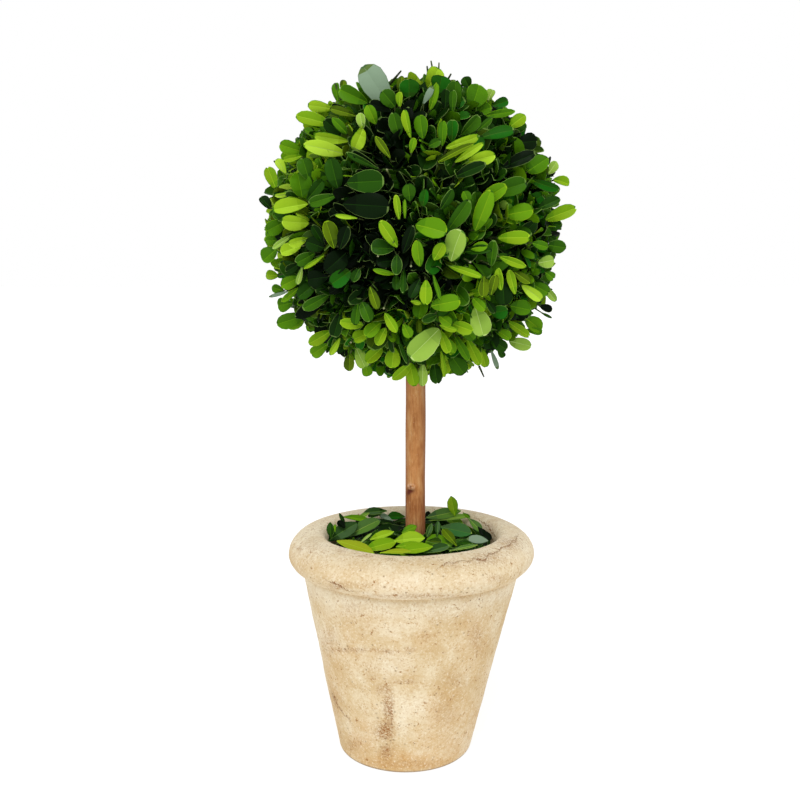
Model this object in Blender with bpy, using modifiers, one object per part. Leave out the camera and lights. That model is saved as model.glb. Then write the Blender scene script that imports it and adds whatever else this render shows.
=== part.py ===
"""Potted boxwood topiary: a clipped ball of preserved boxwood sprigs on a straight wooden stem.

The stem stands in the filling of an aged cream pot with a rolled rim, under a bed of loose leaves.
Metres, +Z up. The origin is the centre of the pot's flat underside.
"""

import math
import random

import bmesh
import bpy
from mathutils import Matrix, Vector
from mathutils.bvhtree import BVHTree

# Driving sizes
TOTAL_HEIGHT = 0.407
BALL_REACH = 0.0920
STEM_RADIUS = 0.0060
POT_RIM_RADIUS = 0.0745
POT_FOOT_RADIUS = 0.0410
POT_HEIGHT = 0.1360
CLEARANCE = 0.0003

# The pot is hand made: its body leans, so that its rim stands to the right of its foot.
POT_LEAN = 0.028
RIM_WIDEST_Z = 0.1240
RIM_UNDER_RADIUS = 0.0660
RIM_UNDER_Z = 0.1146
COVE_DEPTH = 0.0010
BODY_TOP_RADIUS = 0.0656
BODY_TOP_Z = 0.1124
CROWN_RADIUS = 0.0575
THROAT_RADIUS = 0.0514
THROAT_Z = 0.1285
INNER_SHOULDER_Z = 0.1020
POT_FLOOR_Z = 0.0120
POT_FLOOR_RADIUS = 0.0300
FLOOR_ROUNDING = 0.0040
FOOT_ROUNDING = 0.0016
TURNED_STEPS = 48

# The filling, and the bed of leaves on it
FILLING_TOP_Z = 0.1180
BED_EDGE_Z = 0.1235
BED_TOP_Z = 0.1275
BED_STEPS = 28

# The stem
STEM_X = 0.0060
STEM_FOOT_Z = 0.0520
STEM_TOP_Z = 0.3000
STEM_RINGS = 18
STEM_SWELL = 0.025
STEM_BOW = 0.0003
BORE_SIDES = 16
KNOT_Z = 0.1605
KNOT_RADIUS = 0.0022

# The ball
BALL_X = 0.0050
BALL_CENTRE = Vector((BALL_X, 0.0, TOTAL_HEIGHT - BALL_REACH))
CORE_RADIUS = 0.0730
CORE_LUMP = 0.0016
SPRIG_COUNT = 111
SPRIG_SEED = 11
SPRIG_SINK = 0.0050
SPRIG_LEAN = 0.55
SHOOT_LENGTH = (0.0050, 0.0095)
SHOOT_SPREAD = math.radians(55.0)
FORK_SHARE = 0.30
PAIR_DROP = 0.0035
TWIG_RADIUS = 0.00110

# Boxwood leaves: blunt, widest past the middle, in opposite pairs
LEAF_LENGTH = (0.0150, 0.0230)
TIP_TRIM = (0.0004, 0.0030)
LEAF_WIDTH_SHARE = (0.52, 0.64)
LEAF_THICKNESS = 0.0010
LEAF_CUP = 0.10
LEAF_OPEN = (math.radians(35.0), math.radians(78.0))
LEAF_SINK = 0.0004
LEAF_TRIES = 12
LEAF_TAPER = 0.45

# Loose leaves on the bed
LOOSE_COUNT = 120
LOOSE_SEED = 5
LOOSE_LENGTH = (0.0185, 0.0235)
LOOSE_LIFT = (math.radians(8.0), math.radians(38.0))
LOOSE_ROOT_DEPTH = 0.0022


def clear_scene():
    """Removes every object of the scene that is open."""
    for obj in list(bpy.data.objects):
        bpy.data.objects.remove(obj, do_unlink=True)


def new_collection(name):
    """A collection linked to the scene."""
    collection = bpy.data.collections.new(name)
    bpy.context.scene.collection.children.link(collection)
    return collection


def new_material(name, colour, roughness):
    """A Principled material of one colour, as linear red, green and blue."""
    material = bpy.data.materials.new(name)
    material.use_nodes = True
    shader = material.node_tree.nodes["Principled BSDF"]
    shader.inputs["Base Color"].default_value = (*colour, 1.0)
    shader.inputs["Roughness"].default_value = roughness
    shader.inputs["Metallic"].default_value = 0.0
    return material


def new_object(name, data, collection, material=None):
    """An object that holds data, in a collection."""
    obj = bpy.data.objects.new(name, data)
    collection.objects.link(obj)
    if material is not None:
        data.materials.append(material)
    return obj


def mesh_from_bmesh(name, shape):
    """A mesh datablock made from a bmesh, which is freed."""
    mesh = bpy.data.meshes.new(name)
    shape.to_mesh(mesh)
    shape.free()
    return mesh


def evaluated_mesh(obj):
    """A new mesh of obj with its modifiers applied, in world space."""
    bpy.context.view_layer.update()
    graph = bpy.context.evaluated_depsgraph_get()
    mesh = bpy.data.meshes.new_from_object(obj.evaluated_get(graph))
    mesh.transform(obj.matrix_world)
    return mesh


def bake_modifiers(obj):
    """Applies all modifiers of a mesh object."""
    mesh = evaluated_mesh(obj)
    obj.modifiers.clear()
    obj.matrix_world = Matrix.Identity(4)
    obj.data = mesh


def shade(mesh, angle):
    """Smooth shading, with edges sharper than angle left crisp."""
    mesh.shade_smooth()
    mesh.set_sharp_from_angle(angle=math.radians(angle))


def boolean(obj, name, operation, other=None, collection=None, solver="EXACT"):
    """A Boolean modifier against one object or a collection."""
    modifier = obj.modifiers.new(name, "BOOLEAN")
    modifier.operation = operation
    modifier.solver = solver
    if collection is not None:
        modifier.operand_type = "COLLECTION"
        modifier.collection = collection
    else:
        modifier.object = other
    return modifier


def keep_largest_island(mesh):
    """Drops every piece of the mesh that isn't joined to the largest one: loose scraps and sealed hollows."""
    shape = bmesh.new()
    shape.from_mesh(mesh)
    unseen = set(shape.verts)
    islands = []
    while unseen:
        front = [unseen.pop()]
        island = list(front)
        while front:
            vertex = front.pop()
            for edge in vertex.link_edges:
                other = edge.other_vert(vertex)
                if other in unseen:
                    unseen.remove(other)
                    front.append(other)
                    island.append(other)
        islands.append(island)
    islands.sort(key=len)
    scraps = [vertex for island in islands[:-1] for vertex in island]
    bmesh.ops.delete(shape, geom=scraps, context="VERTS")
    shape.to_mesh(mesh)
    shape.free()
    return len(islands) - 1


def ellipse_arc(centre, radii, start, end, steps):
    """Points of an ellipse from start to end degrees, both ends included."""
    points = []
    for index in range(steps + 1):
        angle = math.radians(start + (end - start) * index / steps)
        points.append((centre[0] + radii[0] * math.cos(angle), centre[1] + radii[1] * math.sin(angle)))
    return points


def turned(name, profile, steps, collection, material):
    """A solid turned round Z from a profile of (radius, height), which runs down its outer side."""
    mesh = bpy.data.meshes.new(name)
    edges = [(index, index + 1) for index in range(len(profile) - 1)]
    mesh.from_pydata([(radius, 0.0, height) for radius, height in profile], edges, [])
    obj = new_object(name, mesh, collection, material)
    screw = obj.modifiers.new("Turn", "SCREW")
    screw.axis = "Z"
    screw.angle = math.tau
    screw.steps = steps
    screw.render_steps = steps
    screw.use_merge_vertices = True
    screw.merge_threshold = 0.00001
    bake_modifiers(obj)
    return obj


def lean_with_pot(mesh):
    """Slides each level of a mesh sideways as the pot's body leans."""
    skew = Matrix.Identity(4)
    skew[0][2] = POT_LEAN
    mesh.transform(skew)


def pot_profile():
    """The pot's section: up its inside from the middle of the floor, over the rolled rim and down its outside."""
    cove = BODY_TOP_RADIUS - COVE_DEPTH
    throat_drop = POT_HEIGHT - THROAT_Z
    points = [(0.0, POT_FLOOR_Z)]
    points += ellipse_arc(
        (POT_FLOOR_RADIUS, POT_FLOOR_Z + FLOOR_ROUNDING), (FLOOR_ROUNDING, FLOOR_ROUNDING), -90, 0, 2
    )
    points.append((THROAT_RADIUS, INNER_SHOULDER_Z))
    points += ellipse_arc(
        (CROWN_RADIUS, THROAT_Z), (CROWN_RADIUS - THROAT_RADIUS, throat_drop), 180, 90, 4
    )
    points += ellipse_arc(
        (CROWN_RADIUS, RIM_WIDEST_Z), (POT_RIM_RADIUS - CROWN_RADIUS, POT_HEIGHT - RIM_WIDEST_Z), 90, 0, 7
    )[1:]
    points += ellipse_arc(
        (RIM_UNDER_RADIUS, RIM_WIDEST_Z), (POT_RIM_RADIUS - RIM_UNDER_RADIUS, RIM_WIDEST_Z - RIM_UNDER_Z), 0, -90, 5
    )[1:]
    points.append((cove, (RIM_UNDER_Z + BODY_TOP_Z) / 2))
    points.append((BODY_TOP_RADIUS, BODY_TOP_Z))
    foot = (POT_FOOT_RADIUS - FOOT_ROUNDING, FOOT_ROUNDING)
    points += ellipse_arc(foot, (FOOT_ROUNDING, FOOT_ROUNDING), 0, -90, 2)
    points.append((0.0, 0.0))
    return points


def make_pot(collection, material):
    """The pot: one turned shell, leaned a little."""
    pot = turned("pot", pot_profile(), TURNED_STEPS, collection, material)
    lean_with_pot(pot.data)
    shade(pot.data, 40.0)
    return pot


def bore_cutter(name, low, high, collection):
    """A round cutter along the stem, wide enough that its flats clear the stem."""
    radius = (STEM_RADIUS * (1.0 + STEM_SWELL) + STEM_BOW + CLEARANCE) / math.cos(math.pi / BORE_SIDES)
    shape = bmesh.new()
    place = Matrix.Translation((STEM_X, 0.0, (low + high) / 2))
    bmesh.ops.create_cone(
        shape,
        cap_ends=True,
        segments=BORE_SIDES,
        radius1=radius,
        radius2=radius,
        depth=high - low,
        matrix=place,
    )
    cutter = new_object(name, mesh_from_bmesh(name, shape), collection)
    cutter.hide_render = True
    cutter.display_type = "WIRE"
    return cutter


def make_filling(collection, cutters, material):
    """The block that fills the pot, with a socket for the stem's foot."""
    low = POT_FLOOR_Z + CLEARANCE
    profile = [
        (0.0, FILLING_TOP_Z),
        (THROAT_RADIUS - CLEARANCE, FILLING_TOP_Z),
        (THROAT_RADIUS - CLEARANCE, INNER_SHOULDER_Z),
        (POT_FLOOR_RADIUS + FLOOR_ROUNDING - CLEARANCE, low + FLOOR_ROUNDING),
        (POT_FLOOR_RADIUS, low),
        (0.0, low),
    ]
    filling = turned("pot_filling", profile, TURNED_STEPS, collection, material)
    lean_with_pot(filling.data)
    shade(filling.data, 40.0)
    socket = bore_cutter("stem_socket", STEM_FOOT_Z - CLEARANCE, FILLING_TOP_Z + 0.01, cutters)
    boolean(filling, "Socket", "DIFFERENCE", socket)
    return filling


def make_stem(collection, material):
    """The stem: a straight stick, cut flat at both ends, with a knot."""
    curve = bpy.data.curves.new("stem", "CURVE")
    curve.dimensions = "3D"
    curve.bevel_depth = STEM_RADIUS
    curve.bevel_resolution = 6
    curve.use_fill_caps = True
    spline = curve.splines.new("POLY")
    spline.points.add(STEM_RINGS)
    for index, point in enumerate(spline.points):
        share = index / STEM_RINGS
        bow = STEM_BOW * math.sin(share * math.tau)
        height = STEM_FOOT_Z + (STEM_TOP_Z - STEM_FOOT_Z) * share
        point.co = (STEM_X + bow, 0.0, height, 1.0)
        point.radius = 1.0 + STEM_SWELL * math.sin(5.0 * share) * math.cos(11.0 * share)
    guide = new_object("stem_guide", curve, collection)
    mesh = evaluated_mesh(guide)
    bpy.data.objects.remove(guide, do_unlink=True)
    shape = bmesh.new()
    shape.from_mesh(mesh)
    bmesh.ops.remove_doubles(shape, verts=shape.verts, dist=0.00001)
    stem = new_object("stem", mesh_from_bmesh("stem", shape), collection, material)
    knot_shape = bmesh.new()
    place = Matrix.Translation((STEM_X - 0.72 * STEM_RADIUS, -0.62 * STEM_RADIUS, KNOT_Z))
    squash = Matrix.Diagonal((1.0, 1.0, 1.5, 1.0))
    bmesh.ops.create_icosphere(knot_shape, subdivisions=2, radius=KNOT_RADIUS, matrix=place @ squash)
    knot = new_object("knot", mesh_from_bmesh("knot", knot_shape), collection)
    boolean(stem, "Knot", "UNION", knot)
    bake_modifiers(stem)
    bpy.data.objects.remove(knot, do_unlink=True)
    shade(stem.data, 40.0)
    return stem


def leaf_mesh(name, length, width):
    """One leaf along +X, its face towards +Z: a five-sided double cone drawn out to a blunt, cupped blade.

    The corners of the outline are the root, two at the widest part and two at the blunt tip.
    """
    shape = bmesh.new()
    bmesh.ops.create_uvsphere(shape, u_segments=5, v_segments=2, radius=1.0)
    for vertex in shape.verts:
        side, back, face = vertex.co
        along = (1.0 - back) / (1.0 + math.cos(math.radians(36.0)))
        half_width = width / 2 * (1.0 + LEAF_TAPER * (0.4 - along)) / math.cos(math.radians(18.0))
        cup = LEAF_CUP * width * (1.0 - (2.0 * along - 1.0) ** 2)
        vertex.co = (along * length, side * half_width, face * LEAF_THICKNESS / 2 - cup)
    bmesh.ops.recalc_face_normals(shape, faces=shape.faces)
    return mesh_from_bmesh(name, shape)


def frame_matrix(origin, along, face):
    """The matrix that lays +X along a direction and turns +Z towards face."""
    forward = along.normalized()
    side = face.cross(forward).normalized()
    up = forward.cross(side)
    matrix = Matrix((forward, side, up)).transposed().to_4x4()
    matrix.translation = origin
    return matrix


def twig_object(name, start, end, collection):
    """A three-sided twig that tapers from start to end."""
    shape = bmesh.new()
    depth = (end - start).length
    bmesh.ops.create_cone(
        shape,
        cap_ends=True,
        segments=3,
        radius1=TWIG_RADIUS * 1.25,
        radius2=TWIG_RADIUS * 0.75,
        depth=depth,
        matrix=Matrix.Translation((0.0, 0.0, depth / 2)),
    )
    turn = (end - start).to_track_quat("Z", "X").to_matrix().to_4x4()
    shape.transform(Matrix.Translation(start) @ turn)
    return new_object(name, mesh_from_bmesh(name, shape), collection)


def leaf_samples(mesh):
    """The leaf's corners and the middles of its edges."""
    points = [vertex.co.copy() for vertex in mesh.vertices]
    for edge in mesh.edges:
        first, second = (mesh.vertices[index].co for index in edge.vertices)
        points.append((first + second) / 2)
    return points


def trimmed_length(root, along, chance):
    """A ball leaf's length: as far as the clippers let it reach, within the lengths that leaves have."""
    out = root - BALL_CENTRE
    forward = along.normalized()
    middle = out.dot(forward)
    to_reach = math.sqrt(middle * middle + BALL_REACH**2 - out.length_squared) - middle
    return min(max(to_reach - chance.uniform(*TIP_TRIM), LEAF_LENGTH[0]), LEAF_LENGTH[1])


def loose_length(root, along, chance):
    """A loose leaf's length."""
    return chance.uniform(*LOOSE_LENGTH)


def stem_distance(point):
    """How far a point lies from the stem's axis."""
    return math.hypot(point.x - STEM_X, point.y)


def in_ball_space(points):
    """True where all points lie in the ball's reach and clear of the stem."""
    stem_gap = STEM_RADIUS * (1.0 + STEM_SWELL) + STEM_BOW + 2 * CLEARANCE
    return all(
        (point - BALL_CENTRE).length < BALL_REACH and stem_distance(point) > stem_gap for point in points
    )


def golden_direction(index, count):
    """The index-th of count directions spread evenly over a sphere by the golden angle."""
    height = 1.0 - (2.0 * index + 1.0) / count
    ring = math.sqrt(1.0 - height * height)
    turn = index * math.pi * (3.0 - math.sqrt(5.0))
    return Vector((ring * math.cos(turn), ring * math.sin(turn), height))


def tangent_pair(normal):
    """Two directions across a normal, at right angles to each other."""
    first = normal.cross(Vector((0.31, 0.87, 0.38))).normalized()
    return first, normal.cross(first)


class Thicket:
    """The leaves placed so far, so that no two of them cross."""

    def __init__(self, collection):
        self.collection = collection
        self.leaves = []

    def crosses(self, middle, tree, family):
        """True where a leaf crosses a leaf of another family."""
        for other_middle, other_tree, other_family in self.leaves:
            if family != other_family and (middle - other_middle).length < LEAF_LENGTH[1]:
                if tree.overlap(other_tree):
                    return True
        return False

    def add_leaf(self, name, family, place_leaf, chance, length_of, fits):
        """Adds one leaf where it fits its space, in a few tries. Its root is sunk into what carries it.

        place_leaf gives a root, the blade's direction and the direction of its face, and length_of its length.
        """
        for _ in range(LEAF_TRIES):
            root, along, face = place_leaf()
            length = length_of(root, along, chance)
            width = length * chance.uniform(*LEAF_WIDTH_SHARE)
            mesh = leaf_mesh(name, length, width)
            mesh.transform(frame_matrix(root - along.normalized() * LEAF_SINK, along, face))
            points = [vertex.co.copy() for vertex in mesh.vertices]
            tree = BVHTree.FromPolygons(points, [polygon.vertices[:] for polygon in mesh.polygons])
            middle = sum(points, Vector()) / len(points)
            if fits(leaf_samples(mesh)) and not self.crosses(middle, tree, family):
                new_object(name, mesh, self.collection)
                self.leaves.append((middle, tree, family))
                return 1
            bpy.data.meshes.remove(mesh)
        return 0


def add_shoot(name, root, tip, chance, thicket):
    """One shoot: a twig with an opposite pair of leaves below its tip and one leaf at the tip."""
    twig_object(name + "_twig", root, tip, thicket.collection)
    axis = (tip - root).normalized()
    first, second = tangent_pair(axis)
    roll = chance.uniform(0.0, math.tau)
    side = first * math.cos(roll) + second * math.sin(roll)
    across = side.cross(axis)
    pair_root = tip - axis * PAIR_DROP

    def pair_leaf(sign):
        opening = chance.uniform(*LEAF_OPEN)
        along = axis * math.cos(opening) + side * sign * math.sin(opening)
        return pair_root, along, axis * math.sin(opening) - side * sign * math.cos(opening)

    def tip_leaf():
        opening = chance.uniform(-1.0, 1.0) * LEAF_OPEN[1]
        along = axis * math.cos(opening) + across * math.sin(opening)
        return tip, along, across * math.cos(opening) - axis * math.sin(opening)

    leaves = 0
    for label, place_leaf in (
        ("_left", lambda: pair_leaf(1.0)),
        ("_right", lambda: pair_leaf(-1.0)),
        ("_tip", tip_leaf),
    ):
        leaves += thicket.add_leaf(name + label, name, place_leaf, chance, trimmed_length, in_ball_space)
    return leaves


def add_sprig(index, chance, thicket):
    """One sprig standing out of the core: a twig that leans, and sometimes forks into two shoots."""
    normal = golden_direction(index, SPRIG_COUNT)
    first, second = tangent_pair(normal)
    lean = chance.uniform(0.0, SPRIG_LEAN)
    heading = chance.uniform(0.0, math.tau)
    sideways = first * math.cos(heading) + second * math.sin(heading)
    axis = (normal + sideways * lean).normalized()
    root = BALL_CENTRE + normal * (CORE_RADIUS - SPRIG_SINK)
    tip = root + axis * (SPRIG_SINK + chance.uniform(*SHOOT_LENGTH))
    if stem_distance(tip) < STEM_RADIUS * 2.2 and normal.z < 0.0:
        return 0
    leaves = add_shoot(f"sprig_{index}_a", root, tip, chance, thicket)
    if chance.random() < FORK_SHARE:
        turn = Matrix.Rotation(SHOOT_SPREAD, 3, sideways.cross(axis))
        fork_tip = root + turn @ axis * (SPRIG_SINK + chance.uniform(*SHOOT_LENGTH))
        leaves += add_shoot(f"sprig_{index}_b", root, fork_tip, chance, thicket)
    return leaves


def core_mesh(name):
    """The dense heart of the ball: a sphere with low, even lumps."""
    shape = bmesh.new()
    bmesh.ops.create_icosphere(shape, subdivisions=2, radius=CORE_RADIUS)
    for vertex in shape.verts:
        x, y, z = vertex.co / CORE_RADIUS
        lump = math.sin(5.0 * x + 1.3) * math.sin(6.0 * y + 0.4) * math.cos(5.0 * z)
        vertex.co = vertex.co * (1.0 + lump * CORE_LUMP / CORE_RADIUS) + BALL_CENTRE
    return mesh_from_bmesh(name, shape)


def fuse(obj, pieces):
    """Joins a collection's objects to obj in one union, then removes them and whatever stays loose."""
    boolean(obj, "Fuse", "UNION", collection=pieces, solver="MANIFOLD")
    bake_modifiers(obj)
    for piece in list(pieces.objects):
        bpy.data.objects.remove(piece, do_unlink=True)
    bpy.data.collections.remove(pieces)
    return keep_largest_island(obj.data)


def make_ball(collection, cutters, material):
    """The clipped ball: a core with sprigs of leaves fused on, bored for the stem."""
    ball = new_object("boxwood_ball", core_mesh("boxwood_ball"), collection, material)
    sprigs = new_collection("sprigs")
    chance = random.Random(SPRIG_SEED)
    thicket = Thicket(sprigs)
    leaves = sum(add_sprig(index, chance, thicket) for index in range(SPRIG_COUNT))
    scraps = fuse(ball, sprigs)
    bore = bore_cutter("ball_bore", BALL_CENTRE.z - BALL_REACH - 0.01, STEM_TOP_Z + CLEARANCE, cutters)
    boolean(ball, "Bore", "DIFFERENCE", bore)
    print(f"ball: {leaves} leaves, {scraps} scraps dropped")
    return ball


def bed_centre(height):
    """The middle of the pot's mouth at a height."""
    return Vector((POT_LEAN * height, 0.0, height))


def bed_surface(radius):
    """The bed's height at a radius: a low dome."""
    share = radius / THROAT_RADIUS
    return BED_TOP_Z - (BED_TOP_Z - BED_EDGE_Z) * share * share


def in_bed_space(points):
    """True where all points lie over the filling, inside the pot's throat and clear of the stem."""
    stem_gap = STEM_RADIUS * (1.0 + STEM_SWELL) + STEM_BOW + 2 * CLEARANCE
    for point in points:
        away = point - bed_centre(point.z)
        if math.hypot(away.x, away.y) > THROAT_RADIUS - 3 * CLEARANCE:
            return False
        if point.z < FILLING_TOP_Z + 2 * CLEARANCE or stem_distance(point) < stem_gap:
            return False
    return True


def add_loose_leaf(index, chance, thicket):
    """One loose leaf on the bed. Its root end dips into the bed and its blade rises a little."""
    share = math.sqrt((index + 0.5) / LOOSE_COUNT)
    turn = index * math.pi * (3.0 - math.sqrt(5.0)) + chance.uniform(-0.3, 0.3)
    radius = share * THROAT_RADIUS * 0.92
    root = bed_centre(BED_EDGE_Z) + Vector((math.cos(turn), math.sin(turn), 0.0)) * radius
    root.z = bed_surface(radius) - LOOSE_ROOT_DEPTH
    upward = Vector((0.0, 0.0, 1.0))

    def lying_leaf():
        heading = chance.uniform(0.0, math.tau)
        lift = chance.uniform(*LOOSE_LIFT)
        flat = Vector((math.cos(heading), math.sin(heading), 0.0))
        along = flat * math.cos(lift) + upward * math.sin(lift)
        return root, along, upward + flat.cross(upward) * chance.uniform(-0.5, 0.5)

    name = f"loose_{index}"
    return thicket.add_leaf(name, name, lying_leaf, chance, loose_length, in_bed_space)


def make_leaf_bed(collection, cutters, material):
    """The bed of leaves that covers the filling: a low ring round the stem with loose leaves fused on."""
    edge = THROAT_RADIUS - 2 * CLEARANCE
    low = FILLING_TOP_Z + CLEARANCE
    rings = 4
    profile = []
    for index in range(rings + 1):
        radius = edge * index / rings
        profile.append((radius, bed_surface(radius)))
    profile += [(edge, low), (0.0, low)]
    bed = turned("leaf_bed", profile, BED_STEPS, collection, material)
    lean_with_pot(bed.data)
    loose = new_collection("loose_leaves")
    chance = random.Random(LOOSE_SEED)
    thicket = Thicket(loose)
    leaves = sum(add_loose_leaf(index, chance, thicket) for index in range(LOOSE_COUNT))
    scraps = fuse(bed, loose)
    bore = bore_cutter("bed_bore", FILLING_TOP_Z - 0.01, POT_HEIGHT + 0.02, cutters)
    boolean(bed, "Bore", "DIFFERENCE", bore)
    print(f"leaf bed: {leaves} leaves, {scraps} scraps dropped")
    return bed


def main():
    """Builds the topiary."""
    clear_scene()
    topiary = new_collection("potted_boxwood_topiary")
    cutters = new_collection("cutters")
    cutters.hide_render = True
    aged_cream = new_material("aged_cream_clay", (0.72, 0.58, 0.38), 0.9)
    dark_filling = new_material("dark_filling", (0.012, 0.010, 0.008), 0.95)
    stem_wood = new_material("stem_wood", (0.29, 0.13, 0.055), 0.65)
    boxwood_green = new_material("boxwood_green", (0.075, 0.19, 0.012), 0.5)
    bed_green = new_material("bed_green", (0.10, 0.24, 0.015), 0.5)
    make_pot(topiary, aged_cream)
    make_filling(topiary, cutters, dark_filling)
    make_stem(topiary, stem_wood)
    make_ball(topiary, cutters, boxwood_green)
    make_leaf_bed(topiary, cutters, bed_green)


main()
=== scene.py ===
# %% [markdown]
# # A potted boxwood ball, dressed in Blender
# The real object is a made thing: sprigs of preserved boxwood pushed into a ball, the ball on a
# wooden stick, and the stick set in an aged cream pot whose filling hides under loose leaves.
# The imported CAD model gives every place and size. This script keeps that frame fixed and gives
# each of its solids a detailed surface of its own. All lengths are in metres.

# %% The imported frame
import math

import bpy
import numpy as np
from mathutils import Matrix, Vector


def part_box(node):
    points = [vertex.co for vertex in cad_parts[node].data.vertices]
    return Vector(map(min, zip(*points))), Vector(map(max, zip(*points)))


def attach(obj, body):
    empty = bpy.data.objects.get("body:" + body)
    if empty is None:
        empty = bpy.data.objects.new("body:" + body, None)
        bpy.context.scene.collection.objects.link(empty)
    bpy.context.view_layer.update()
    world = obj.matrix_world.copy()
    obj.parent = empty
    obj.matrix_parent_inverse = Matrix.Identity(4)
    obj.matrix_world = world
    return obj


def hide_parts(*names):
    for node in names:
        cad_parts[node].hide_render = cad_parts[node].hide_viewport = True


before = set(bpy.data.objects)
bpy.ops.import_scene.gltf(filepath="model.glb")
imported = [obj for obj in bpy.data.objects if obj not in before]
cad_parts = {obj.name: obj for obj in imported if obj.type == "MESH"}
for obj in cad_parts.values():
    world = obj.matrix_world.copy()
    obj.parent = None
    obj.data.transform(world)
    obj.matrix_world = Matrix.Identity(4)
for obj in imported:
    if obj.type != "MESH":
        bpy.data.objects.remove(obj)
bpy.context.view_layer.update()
MM = 0.001

# %% [markdown]
# ## The camera
# The photograph was taken from a little above the middle of the ball, looking slightly down.
# Its place, pitch and focal length were fitted to the curved edges of the pot, so a pixel of
# the picture can be turned into a ray, and a point of the object into a pixel.

# %% Camera
PHOTO_SIDE = 800
FOCAL_PIXELS = 941.2
SENSOR_WIDTH = 36.0
CAMERA_AT = np.array([-3.14, -560.0, 285.8]) * MM
CAMERA_PITCH = math.radians(7.196)

camera = bpy.data.objects.new("camera", bpy.data.cameras.new("camera"))
camera.data.sensor_width = SENSOR_WIDTH
camera.data.lens = FOCAL_PIXELS / PHOTO_SIDE * SENSOR_WIDTH
camera.data.clip_start, camera.data.clip_end = 0.01, 100.0
camera.location = CAMERA_AT
camera.rotation_euler = (math.pi / 2 - CAMERA_PITCH, 0.0, 0.0)
bpy.context.scene.collection.objects.link(camera)
bpy.context.scene.camera = camera

RIGHT = np.array([1.0, 0.0, 0.0])
UP = np.array([0.0, 0.0, 1.0])
AHEAD = np.array([0.0, math.cos(CAMERA_PITCH), -math.sin(CAMERA_PITCH)])
ABOVE = np.array([0.0, math.sin(CAMERA_PITCH), math.cos(CAMERA_PITCH)])


def unit(vectors):
    """Each vector divided by its length."""
    return vectors / np.linalg.norm(vectors, axis=-1, keepdims=True)


def dots(first, second):
    """Dot products over the last axis, which is kept."""
    return (first * second).sum(-1, keepdims=True)


def photo_rays(pixels):
    """Directions through pixels: ahead, plus (u - 400) / f to the right and (400 - v) / f up."""
    offset = (np.asarray(pixels, float) - PHOTO_SIDE / 2) / FOCAL_PIXELS
    return unit(AHEAD + offset[..., :1] * RIGHT - offset[..., 1:2] * ABOVE)


def photo_pixels(points):
    """Where points fall in the photograph: 400 plus f times their sideways share of the depth."""
    away = points - CAMERA_AT
    aside = np.stack([away @ RIGHT, -(away @ ABOVE)], axis=-1)
    return PHOTO_SIDE / 2 + FOCAL_PIXELS * aside / (away @ AHEAD)[..., None]


print("lens in mm:", round(camera.data.lens, 2))

# %% [markdown]
# ## Helpers for materials and meshes
# A colour is written as the sRGB hex value that the eye sees, and turned linear once. One
# function adds any node with its settings and links. A finish is built as a painter would: a
# first colour, then thin layers over it, each as strong as the product of its patterns.
# Surfaces are arrays of points, so a mesh is filled in one go and no loop runs over vertices.


# %% Material helpers
def linear(colour):
    """A hex colour as linear RGBA: each channel ((c + 0.055) / 1.055) to the power 2.4."""
    channels = [int(colour[i : i + 2], 16) / 255 for i in (1, 3, 5)]
    return [c / 12.92 if c <= 0.04045 else ((c + 0.055) / 1.055) ** 2.4 for c in channels] + [1.0]


def add_node(tree, kind, inputs=None, ramp=None, **settings):
    """Adds a node. An input's value is a number, a colour or another node's output socket."""
    node = tree.nodes.new(kind)
    for name, value in settings.items():
        setattr(node, name, value)
    for socket, value in (inputs or {}).items():
        if isinstance(value, bpy.types.NodeSocket):
            tree.links.new(value, node.inputs[socket])
        else:
            node.inputs[socket].default_value = value
    if ramp:
        elements = node.color_ramp.elements
        while len(elements) < len(ramp):
            elements.new(0.5)
        for element, (place, colour) in zip(elements, ramp):
            element.position, element.color = place, linear(colour)
    return node


def new_material(name, **sockets):
    """A material with one Principled shader. Socket names are written with underscores."""
    material = bpy.data.materials.new(name)
    material.use_nodes = True
    shader = material.node_tree.nodes["Principled BSDF"]
    for socket, value in sockets.items():
        shader.inputs[socket.replace("_", " ")].default_value = value
    return material


def strength(tree, *patterns):
    """The product of patterns. A pattern is a socket, or a socket and limits to stretch it between.

    The limits are two values of the pattern and, unless they are 0 and 1, what these turn into.
    """
    product = None
    for pattern in patterns:
        if isinstance(pattern, tuple):
            pattern = add_node(tree, "ShaderNodeMapRange", dict(enumerate(pattern))).outputs[0]
        if product is not None:
            factors = {0: product, 1: pattern}
            pattern = add_node(tree, "ShaderNodeMath", factors, operation="MULTIPLY").outputs[0]
        product = pattern
    return product


def layered(tree, colour, layers):
    """Layers over a first colour: each is a hex colour and the patterns of its strength."""
    for over, *patterns in layers:
        sockets = {0: strength(tree, *patterns), 6: colour, 7: linear(over)}
        colour = add_node(tree, "ShaderNodeMix", sockets, data_type="RGBA", clamp_factor=True).outputs[2]
    return colour


def put_on(material, colour, relief, bump_strength, bump_depth):
    """Gives a material its colour, and its relief as a bump of some strength and depth in metres."""
    tree = material.node_tree
    shader = tree.nodes["Principled BSDF"]
    sockets = {"Height": relief, "Strength": bump_strength, "Distance": bump_depth}
    tree.links.new(add_node(tree, "ShaderNodeBump", sockets).outputs[0], shader.inputs["Normal"])
    tree.links.new(colour, shader.inputs["Base Color"])


def mottled_material(name, size, detail, shades, **sockets):
    """A material of a few shades, dealt out by noise whose cells have the given size in mm."""
    material = new_material(name, **sockets)
    tree = material.node_tree
    place = add_node(tree, "ShaderNodeTexCoord").outputs["Object"]
    inputs = {"Vector": place, "Scale": 1 / (size * MM), "Detail": detail}
    mottle = add_node(tree, "ShaderNodeTexNoise", inputs).outputs["Fac"]
    colour = add_node(tree, "ShaderNodeValToRGB", {"Fac": mottle}, ramp=shades).outputs[0]
    tree.links.new(colour, tree.nodes["Principled BSDF"].inputs["Base Color"])
    return material


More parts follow.
